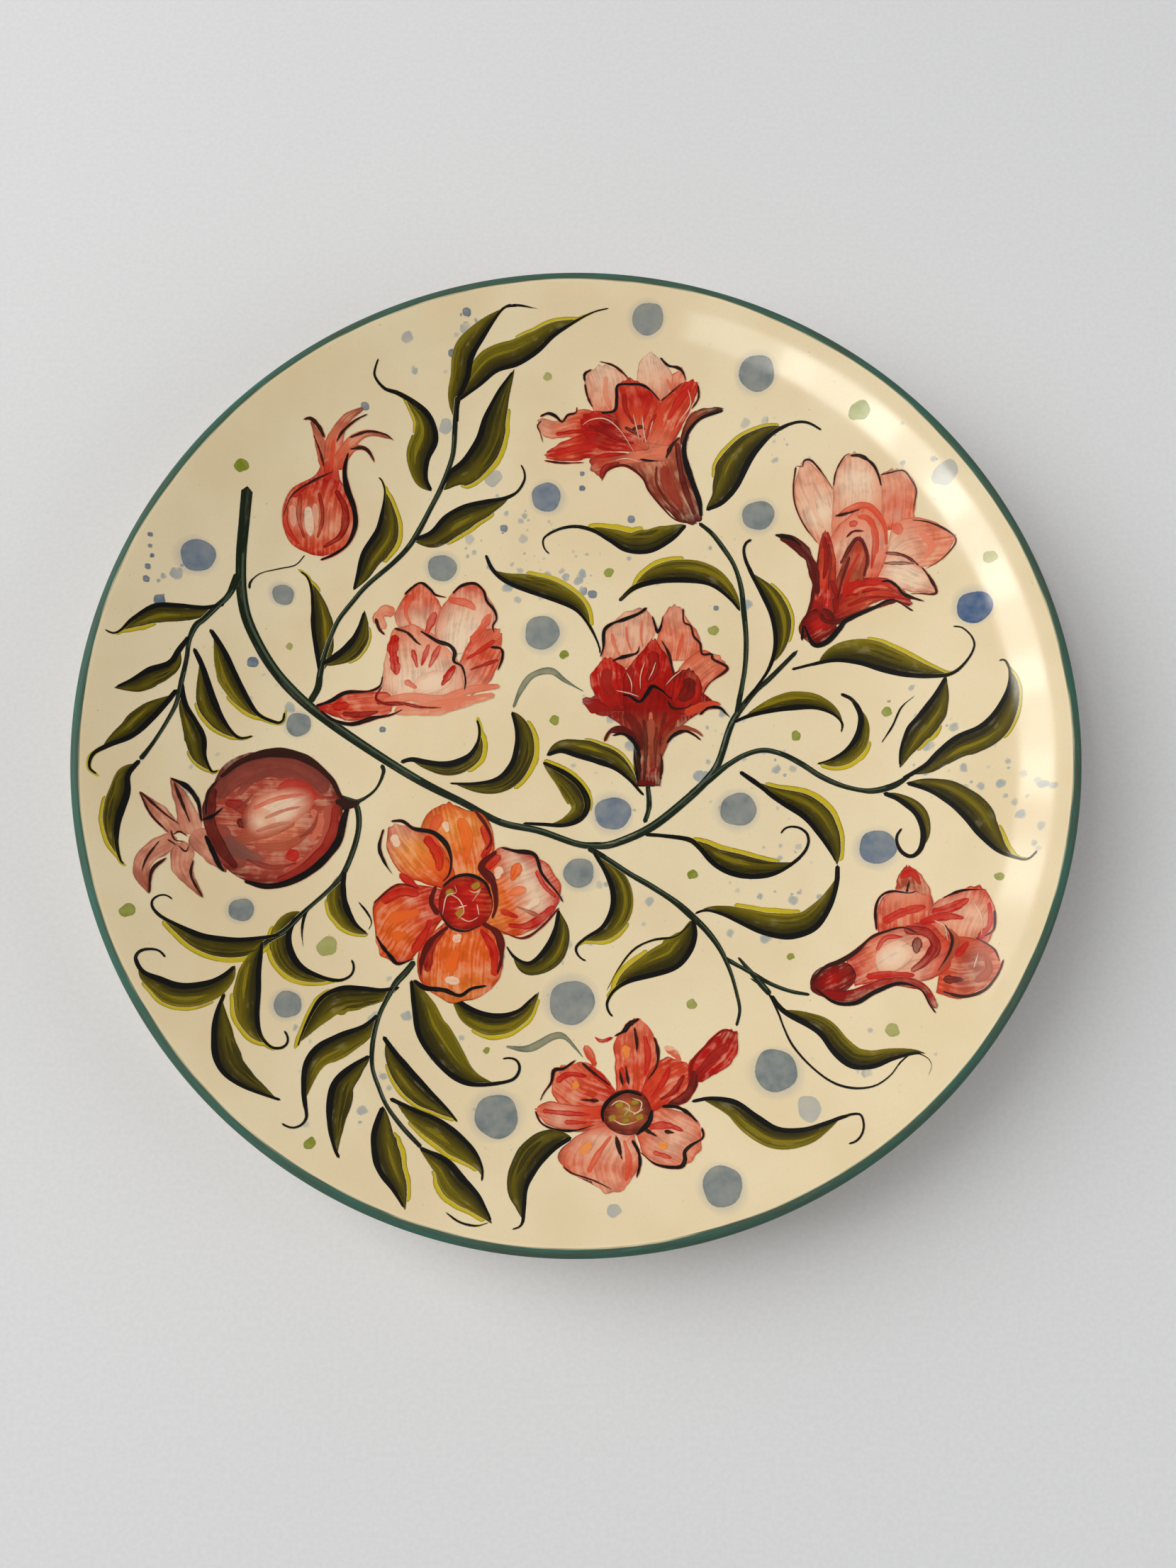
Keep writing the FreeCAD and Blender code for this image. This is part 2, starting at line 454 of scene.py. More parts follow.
def band_share(finish):
    """How fully the green covers the glaze, from the distance to the lip's crown.

    The brush was held against a turning wheel, so the band's edge wanders slowly round the plate
    and frays in streaks that run round with it.
    """
    place = finish.place()
    x, y = finish.parts(place)[:2]
    radius = (x * x + y * y) ** 0.5
    turn = finish.joined(x / radius, y / radius, 0.0)
    lap = finish.attribute("lap", "Fac")
    wander = finish.noise(turn, 2.6, 3.0) - 0.5
    streaks = finish.noise(finish.joined(x / radius * 5.0, y / radius * 5.0, lap * 1.9), 1.0, 4.0, 0.6)
    edge = lap * -1.0 - 0.55 - wander * 1.4 + (streaks - 0.5) * 1.2
    return 1.0 - edge.rise(-0.22, 0.35), streaks, lap, turn


def green_over(finish, under):
    """The brushed green over whatever colour lies under it."""
    share, streaks, lap, turn = band_share(finish)
    fine = finish.noise(finish.joined(*[p * 14.0 for p in finish.parts(turn)[:2]], lap * 5.0),
                        1.0, 3.0, 0.6)
    colour = finish.mixed(streaks.rise(0.42, 0.62), BAND_DEEP, BAND_MIDDLE)
    colour = finish.mixed(fine.rise(0.55, 0.72) * 0.7, colour, BAND_PALE)
    return finish.mixed(share * (0.86 + 0.14 * streaks), under, colour)


def face_finish():
    """The face: cream ground with the frayed inner edge of the band."""
    finish = Finish("clear_glaze_on_cream")
    return gloss(finish, green_over(finish, ground(finish)))


def band_finish():
    """The lip: brushed green that thins to cream at its edges."""
    finish = Finish("brushed_green_band")
    return gloss(finish, green_over(finish, ground(finish)), 0.08, 0.02)


def back_finish():
    """The back: the same clear glaze with nothing painted on it."""
    finish = Finish("clear_glaze_on_back")
    return gloss(finish, ground(finish))


def clay_finish():
    """Bare fired clay: buff and matt, with a sandy grain and fine turning lines."""
    finish = Finish("bare_fired_clay")
    place = finish.place()
    x, y, z = finish.parts(place)
    radius = (x * x + y * y) ** 0.5
    rings = finish.noise(finish.joined(0.0, 0.0, radius * 3.0 + z), 1.0, 2.0)
    sand = finish.noise(place, 3.5, 4.0, 0.7)
    colour = finish.mixed(sand.rise(0.35, 0.7), shade(196, 160, 116), shade(222, 193, 150))
    colour = finish.mixed(rings.rise(0.5, 0.75) * 0.4, colour, shade(176, 138, 96))
    finish.bumped(sand * 0.6 + rings * 0.4, 0.00008)
    return finish.surfaced(colour, {"Roughness": 0.92, "Specular IOR Level": 0.2})


def held(run):
    """The run with one more point 0.02 mm inside each end, which keeps the shading crisp there."""
    first, last = run[1] - run[0], run[-2] - run[-1]
    near_first = run[0] + first * 0.02 / np.hypot(*first)
    near_last = run[-1] + last * 0.02 / np.hypot(*last)
    return np.vstack([run[:1], near_first, run[1:-1], near_last, run[-1:]])


def lap_of(outline):
    """Each point's distance from the lip's crown along the section, less than 0 on the face."""
    crown = LIP_CENTRE + np.array([0.0, LIP_RADIUS])
    away = np.hypot(*(outline - crown).T)
    return np.where(outline[:, 0] < crown[0], -away, away)


def turn_the_body():
    """The clay's foot ring and the four glaze coats, each in place of its CAD node."""
    face = np.vstack([held(face_run(0.0, 60)), held(face_run(GLAZE, 12))[::-1]])
    lip = np.vstack([held(lip_run(0.0, 48)), held(lip_run(GLAZE, 16))[::-1]])
    back = np.vstack([held(back_run(0.0, WIPED, 40)), held(back_run(GLAZE, WIPED, 12))[::-1]])
    recess = np.vstack([held(recess_run(0.0, WIPED, 36))[::-1],
                        held(recess_run(GLAZE, WIPED, 12))])[::-1]
    clay = np.vstack([face_run(GLAZE, 12), lip_run(GLAZE, 12)[1:-1], back_run(GLAZE, FOOT_ROUND, 12),
                      foot_edge(GLAZE)[1:-1], recess_run(GLAZE, FOOT_ROUND, 12)])
    pieces = (("face_coat", face, face_finish(), "cream_glaze", "face_glaze"),
              ("lip_band", lip, band_finish(), "green_band", "rim_band"),
              ("back_coat", back, back_finish(), "cream_glaze", "back_glaze"),
              ("recess_coat", recess, back_finish(), "cream_glaze", "recess_glaze"),
              ("clay_foot_and_body", clay, clay_finish(), "bare_clay", "clay_body"))
    for name, outline, material, slot, node in pieces:
        piece = turned(name, outline, lap_of(outline), material)
        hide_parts(node)


# ---------------------------------------------------------------- marks of the brush

hand = np.random.default_rng(11)
STACKING = 0.0008    # how much higher a film lies, in millimetres, for each one under it in its layer


def smooth_path(points, count):
    """An even run of points along a Catmull-Rom curve through the given ones, columns and all."""
    given = np.asarray(points, float)
    ends = np.vstack([2 * given[0] - given[1], given, 2 * given[-1] - given[-2]])
    share = np.linspace(0, 1, 12, endpoint=False)[:, None, None]
    a, b, c, d = ends[:-3], ends[1:-2], ends[2:-1], ends[3:]
    curve = 0.5 * (2 * b + (c - a) * share + (2 * a - 5 * b + 4 * c - d) * share ** 2
                   + (3 * b - a - 3 * c + d) * share ** 3)
    curve = np.vstack([curve.transpose(1, 0, 2).reshape(-1, given.shape[1]), given[-1:]])
    length = lengths(curve)
    even = np.linspace(0, length[-1], count)
    return np.stack([np.interp(even, length, column) for column in curve.T], 1)


def lengths(path):
    """The distance along a path at each of its points."""
    steps = np.hypot(*np.diff(path[:, :2], axis=0).T)
    return np.concatenate([[0.0], np.cumsum(steps)])


def leftward(path):
    """At each point of a path, the direction of length 1 to its left."""
    along = np.gradient(path[:, :2], axis=0)
    along /= np.maximum(np.hypot(*along.T), 1e-9)[:, None]
    return np.stack([-along[:, 1], along[:, 0]], 1)


def waver(share, size, waves=4):
    """A gentle random wander about 0: a few sine waves of falling height."""
    number = np.arange(1, waves + 1)[:, None]
    phase = hand.uniform(0, 2 * np.pi, (waves, 1))
    return size * (np.sin(2 * np.pi * number * 1.3 * share + phase) / number).sum(0)


def blended(stops, share):
    """Colours along a run of evenly spaced stops."""
    stops = np.array([stop[:3] for stop in stops])
    place = np.linspace(0, 1, len(stops))
    return np.stack([np.interp(share, place, column) for column in stops.T], -1)


class Canvas:
    """What colour the painting has so far, in cells of 1 mm: red, green, blue and how covered."""

    def __init__(self):
        self.reach = int(EDGE) + 4
        self.cells = np.zeros((2 * self.reach, 2 * self.reach, 4))

    def recall(self, x, y):
        """The paint already there at these points, averaged over the nine nearest cells."""
        column = np.clip(np.floor(x + self.reach).astype(int), 1, 2 * self.reach - 2)
        row = np.clip(np.floor(y + self.reach).astype(int), 1, 2 * self.reach - 2)
        around = [self.cells[row + up, column + right] for up in (-1, 0, 1) for right in (-1, 0, 1)]
        found = sum(cell * (cell[..., 3:] > 0) for cell in around)
        number = sum(cell[..., 3:] > 0 for cell in around)
        mean = found / np.maximum(number, 1)
        mean[..., 3] *= np.clip(number[..., 0] / 2, 0, 1)
        return mean

    def remember(self, x, y, colour, cover):
        """Takes in a mark that has just been laid down over what was there."""
        column = np.floor(x + self.reach).astype(int)
        row = np.floor(y + self.reach).astype(int)
        before = self.cells[row, column]
        fresh = cover[..., None]
        kept = before[..., 3:] * (1 - fresh)
        total = np.maximum(kept + fresh, 1e-6)
        mean = (before[..., :3] * kept + colour * fresh) / total
        self.cells[row, column] = np.concatenate([mean, total], -1)


canvas = Canvas()


class Layer:
    """Marks laid down in one go: they share a finish and a height, and become one piece."""

    def __init__(self, name, material, height):
        self.name = name
        self.material = material
        self.height = height
        self.films = []
        self.boxes = []

    def level(self, x, y):
        """How many marks of this layer lie under a new one, by the boxes round them."""
        box = (x.min(), x.max(), y.min(), y.max())
        under = [level for (west, east, south, north), level in self.boxes
                 if west < box[1] and box[0] < east and south < box[3] and box[2] < north]
        level = max(under, default=-1) + 1
        self.boxes.append((box, level))
        return level

    def lay(self, x, y, colour, cover=1.0, lift=0.0):
        """Adds a mark whose rows of points run along the stroke and whose columns go across it."""
        area = (np.diff(x[:, :-1], axis=0) * np.diff(y[:-1], axis=1)
                - np.diff(y[:, :-1], axis=0) * np.diff(x[:-1], axis=1)).sum()
        colour = np.broadcast_to(colour, (*x.shape, 3))
        cover = np.broadcast_to(cover, x.shape)
        if area < 0:
            x, y, colour, cover = x[:, ::-1], y[:, ::-1], colour[:, ::-1], cover[:, ::-1]
        step = np.hypot(np.diff(x, axis=0), np.diff(y, axis=0)).mean(1)
        along = np.concatenate([[0.0], np.cumsum(step)])[:, None]
        across = np.zeros(x.shape)
        across[:, 1:] = np.cumsum(np.hypot(np.diff(x, axis=1), np.diff(y, axis=1)), axis=1)
        side = np.minimum(across, across[:, -1:] - across)
        edge = np.minimum(side, np.minimum(along, along[-1] - along))
        middle = across - across[:, -1:] / 2
        number = len(self.films)
        under = canvas.recall(x, y)
        canvas.remember(x, y, colour, cover)
        # The brush coordinates are shifted for each mark, so that no two have the same streaks.
        self.films.append((x, y, along + 0 * middle + 13.7 * number, middle + 7.3 * number, edge,
                           colour, cover, under, self.height + lift + STACKING * self.level(x, y)))

    def piece(self, slot="cream_glaze"):
        """All the marks as thin closed films on the glaze: a top, a bottom and a rim for each."""
        points, uvs, edges, colours, unders, corners = [], [], [], [], [], []
        total = 0
        for x, y, along, across, edge, colour, cover, under_paint, height in self.films:
            rows, columns = x.shape
            level = face_height(x, y)
            top = np.stack([x, y, level + height], -1).reshape(-1, 3)
            bottom = np.stack([x, y, level - 0.10], -1).reshape(-1, 3)
            points += [top, bottom]
            uvs.append(np.tile(np.stack([along, across], -1).reshape(-1, 2), (2, 1)))
            edges.append(np.tile(edge.ravel(), 2))
            paint = np.concatenate([colour, cover[..., None]], -1).reshape(-1, 4)
            colours.append(np.tile(paint, (2, 1)))
            unders.append(np.tile(under_paint.reshape(-1, 4), (2, 1)))
            index = np.arange(rows * columns).reshape(rows, columns)
            cell = np.stack([index[:-1, :-1], index[1:, :-1], index[1:, 1:], index[:-1, 1:]], -1)
            cell = cell.reshape(-1, 4)
            loop = np.concatenate([index[:-1, 0], index[-1, :-1], index[:0:-1, -1], index[0, :0:-1]])
            after = np.roll(loop, -1)
            under = rows * columns
            rim = np.stack([loop + under, after + under, after, loop], -1)
            corners.append(np.concatenate([cell, cell[:, ::-1] + under, rim]) + total)
            total += 2 * under
        corners = np.concatenate(corners)
        points = np.concatenate(points)
        mesh = mesh_of(self.name, points, corners.ravel(), np.full(len(corners), 4))
        layer = mesh.uv_layers.new(name="brush")
        layer.data.foreach_set("uv", np.concatenate(uvs)[corners.ravel()].ravel())
        mesh.attributes.new("edge", "FLOAT", "POINT").data.foreach_set("value", np.concatenate(edges))
        for tint, values in (("pigment", colours), ("under", unders)):
            attribute = mesh.attributes.new(tint, "FLOAT_COLOR", "POINT")
            attribute.data.foreach_set("color", np.concatenate(values).ravel())
        piece = finished(self.name, mesh, self.material)
        mesh.normals_split_custom_set_from_vertices(face_normal(points[:, 0], points[:, 1]))
        return piece

    def ruled(self, one, other, colour, cover=1.0, columns=9, lift=0.0):
        """A mark between two edges, given as runs of equally many points."""
        share = np.linspace(0, 1, columns)
        x = one[:, :1] * (1 - share) + other[:, :1] * share
        y = one[:, 1:2] * (1 - share) + other[:, 1:2] * share
        self.lay(x, y, colour, cover, lift)

    def stroke(self, points, colour, width=None, cover=1.0, ends=(0.35, 0.15), ragged=0.08, lift=0.0,
               columns=5):
        """One pull of a brush along a path, whose third column, if it has one, is its width.

        The width w follows the path's own widths, or swells from ends[0] w to w and down to
        ends[1] w, and wavers a little. Both tips are rounded off within half a width.
        """
        points = np.asarray(points, float)
        count = int(np.clip(lengths(points)[-1] / 0.55, 10, 160))
        path = smooth_path(points, count)
        length = lengths(path)
        share = length / length[-1]
        if points.shape[1] < 3:
            swell = np.interp(share, [0, 0.3, 0.6, 1], [ends[0], 1, 0.92, ends[1]])
            breadth = width * swell
        else:
            breadth = path[:, 2]
        breadth = breadth * (1 + waver(share, ragged, 5))
        nearest = np.minimum(length, length[-1] - length)
        round_off = np.clip(nearest / np.maximum(breadth * 0.5, 0.05), 0, 1)
        breadth = np.maximum(breadth * np.sqrt(1 - (1 - round_off) ** 2), 0.07)
        offset = leftward(path) * breadth[:, None] / 2
        colour = np.array(colour, float)
        if colour.ndim == 2:
            colour = blended(colour, share)[:, None, :3]
        else:
            colour = colour[:3]
        self.ruled(path[:, :2] + offset, path[:, :2] - offset, colour, cover, columns, lift)

    def dab(self, centre, radii, colour, turn=0.0, cover=1.0, wobble=0.06, grid=15, lift=0.0):
        """A blot: a square grid (u, v) pressed into a disc, then stretched, turned and wobbled."""
        u, v = np.meshgrid(np.linspace(-1, 1, grid), np.linspace(-1, 1, grid), indexing="ij")
        p = u * np.sqrt(1 - v * v / 2)
        q = v * np.sqrt(1 - u * u / 2)
        angle = np.arctan2(q, p)
        phase = hand.uniform(0, 2 * np.pi, 3)
        bulge = 1 + wobble * (np.sin(2 * angle + phase[0]) * 0.5 + np.sin(3 * angle + phase[1]) * 0.5
                              + np.sin(5 * angle + phase[2]) * 0.35) * np.hypot(p, q)
        p, q = p * bulge * radii[0], q * bulge * radii[1]
        cos, sin = math.cos(math.radians(turn)), math.sin(math.radians(turn))
        shade_of = np.array(colour, float)
        if shade_of.ndim == 2:
            shade_of = blended(shade_of, np.clip(np.hypot(p / radii[0], q / radii[1]), 0, 1))
        else:
            shade_of = shade_of[:3]
        if np.ndim(cover):
            cover = np.interp(np.hypot(p / radii[0], q / radii[1]), (0, 0.6, 1), cover)
        self.lay(centre[0] + p * cos - q * sin, centre[1] + p * sin + q * cos, shade_of, cover, lift)


# ---------------------------------------------------------------- finishes of the painting

def paint(name, streak=0.3, blots=0.3, pooling=0.3, fray=0.2, stretch=0.08, fineness=0.9):
    """Translucent glaze paint over whatever was there before it: cream, or earlier paint.

    How much paint lies at a point is its cover, more or less in streaks along the stroke and in
    blots, more in a thin line where it pooled at the edge, and less where the edge frays.
    """
    finish = Finish(name)
    brush = Value(finish.node("ShaderNodeUVMap", {"uv_map": "brush"}).outputs[0])
    along, across = finish.parts(brush)[:2]
    pulled = finish.joined(along * stretch, across * fineness, 0.0)
    streaks = finish.noise(pulled, 1.0, 2.0, 0.55) - 0.5
    place = finish.place()
    blot = finish.noise(place, 0.28, 2.0, 0.55) - 0.5
    fine = finish.noise(place, 2.4, 2.0, 0.6) - 0.5
    edge = finish.attribute("edge", "Fac")
    pigment = finish.attribute("pigment", "Color")
    cover = finish.attribute("pigment", "Alpha")
    before = finish.mixed(finish.attribute("under", "Alpha"), ground(finish),
                          finish.attribute("under", "Color"))
    pool = 1.0 - (edge + fine * 0.3).rise(0.05, 0.6)
    frayed = (edge + fine * 1.3 * fray).rise(-0.03, 0.06 + fray)
    load = cover + (streaks * streak * 2.4 + blot * blots * 2.4) * cover + pool * pooling * cover
    dark = 1.0 - (load - 0.9).clamped() * 0.9
    colour = finish.mixed(load.clamped() * frayed, before, finish.brightened(pigment, dark))
    return gloss(finish, colour)


INK = shade(14, 13, 10)
BROWN = shade(54, 24, 14)
STEM = shade(26, 36, 20)
STEM_PALE = shade(92, 108, 84)
OLIVE = shade(112, 98, 6)
OLIVE_DEEP = shade(66, 57, 8)
OLIVE_DARK = shade(26, 23, 8)
OLIVE_LIGHT = shade(150, 132, 18)
YELLOW = shade(212, 188, 34)
GREY_GREEN = shade(104, 112, 90)
RED = shade(196, 20, 6)
RED_DEEP = shade(148, 12, 4)
MAROON = shade(94, 18, 10)
CORAL = shade(220, 72, 38)
ROSE = shade(230, 124, 90)
PINK = shade(238, 178, 146)
PALE = shade(246, 214, 182)
ORANGE = shade(238, 100, 24)
AMBER = shade(244, 146, 60)
RUST = shade(166, 74, 46)
BLUSH = shade(214, 134, 106)
BLUE_GREY = shade(126, 134, 134)
BLUE_SOFT = shade(104, 120, 138)
BLUE = shade(60, 92, 136)
PALE_GREY = shade(162, 168, 168)
HALO = shade(172, 172, 168)
LEAF_GREEN = shade(138, 146, 40)
GOLD = shade(176, 138, 44)


def prepared_layers():
    """Every layer of the painting, from the first laid down to the last, with its height in mm."""
    wash = paint("leaf_wash", streak=0.2, blots=0.2, pooling=0.3, fray=0.14, fineness=0.7)
    line = paint("line_work", streak=0.12, blots=0.06, pooling=0.1, fray=0.10)
    petal = paint("petal_wash", streak=0.42, blots=0.42, pooling=0.5, fray=0.2, fineness=1.3)
    dot = paint("dot_wash", streak=0.0, blots=0.25, pooling=0.3, fray=0.3)
    halo = paint("halo_wash", streak=0.0, blots=0.3, pooling=0.0, fray=0.6)
    rows = (("dot_halos", halo, 0.006), ("splatter", halo, 0.009), ("blue_dots", dot, 0.014),
            ("green_dots", dot, 0.014), ("leaf_fringes", wash, 0.016), ("leaf_washes", wash, 0.024),
            ("leaf_shading", wash, 0.032), ("stems", line, 0.040), ("leaf_lines", line, 0.048),
            ("fruit_washes", petal, 0.056), ("fruit_strokes", petal, 0.070),
            ("petal_washes", petal, 0.062), ("petal_strokes", petal, 0.110),
            ("petal_lines", line, 0.145), ("pale_hairlines", line, 0.160))
    return {name: Layer(name, material, height) for name, material, height in rows}


# ---------------------------------------------------------------- leaves and stems

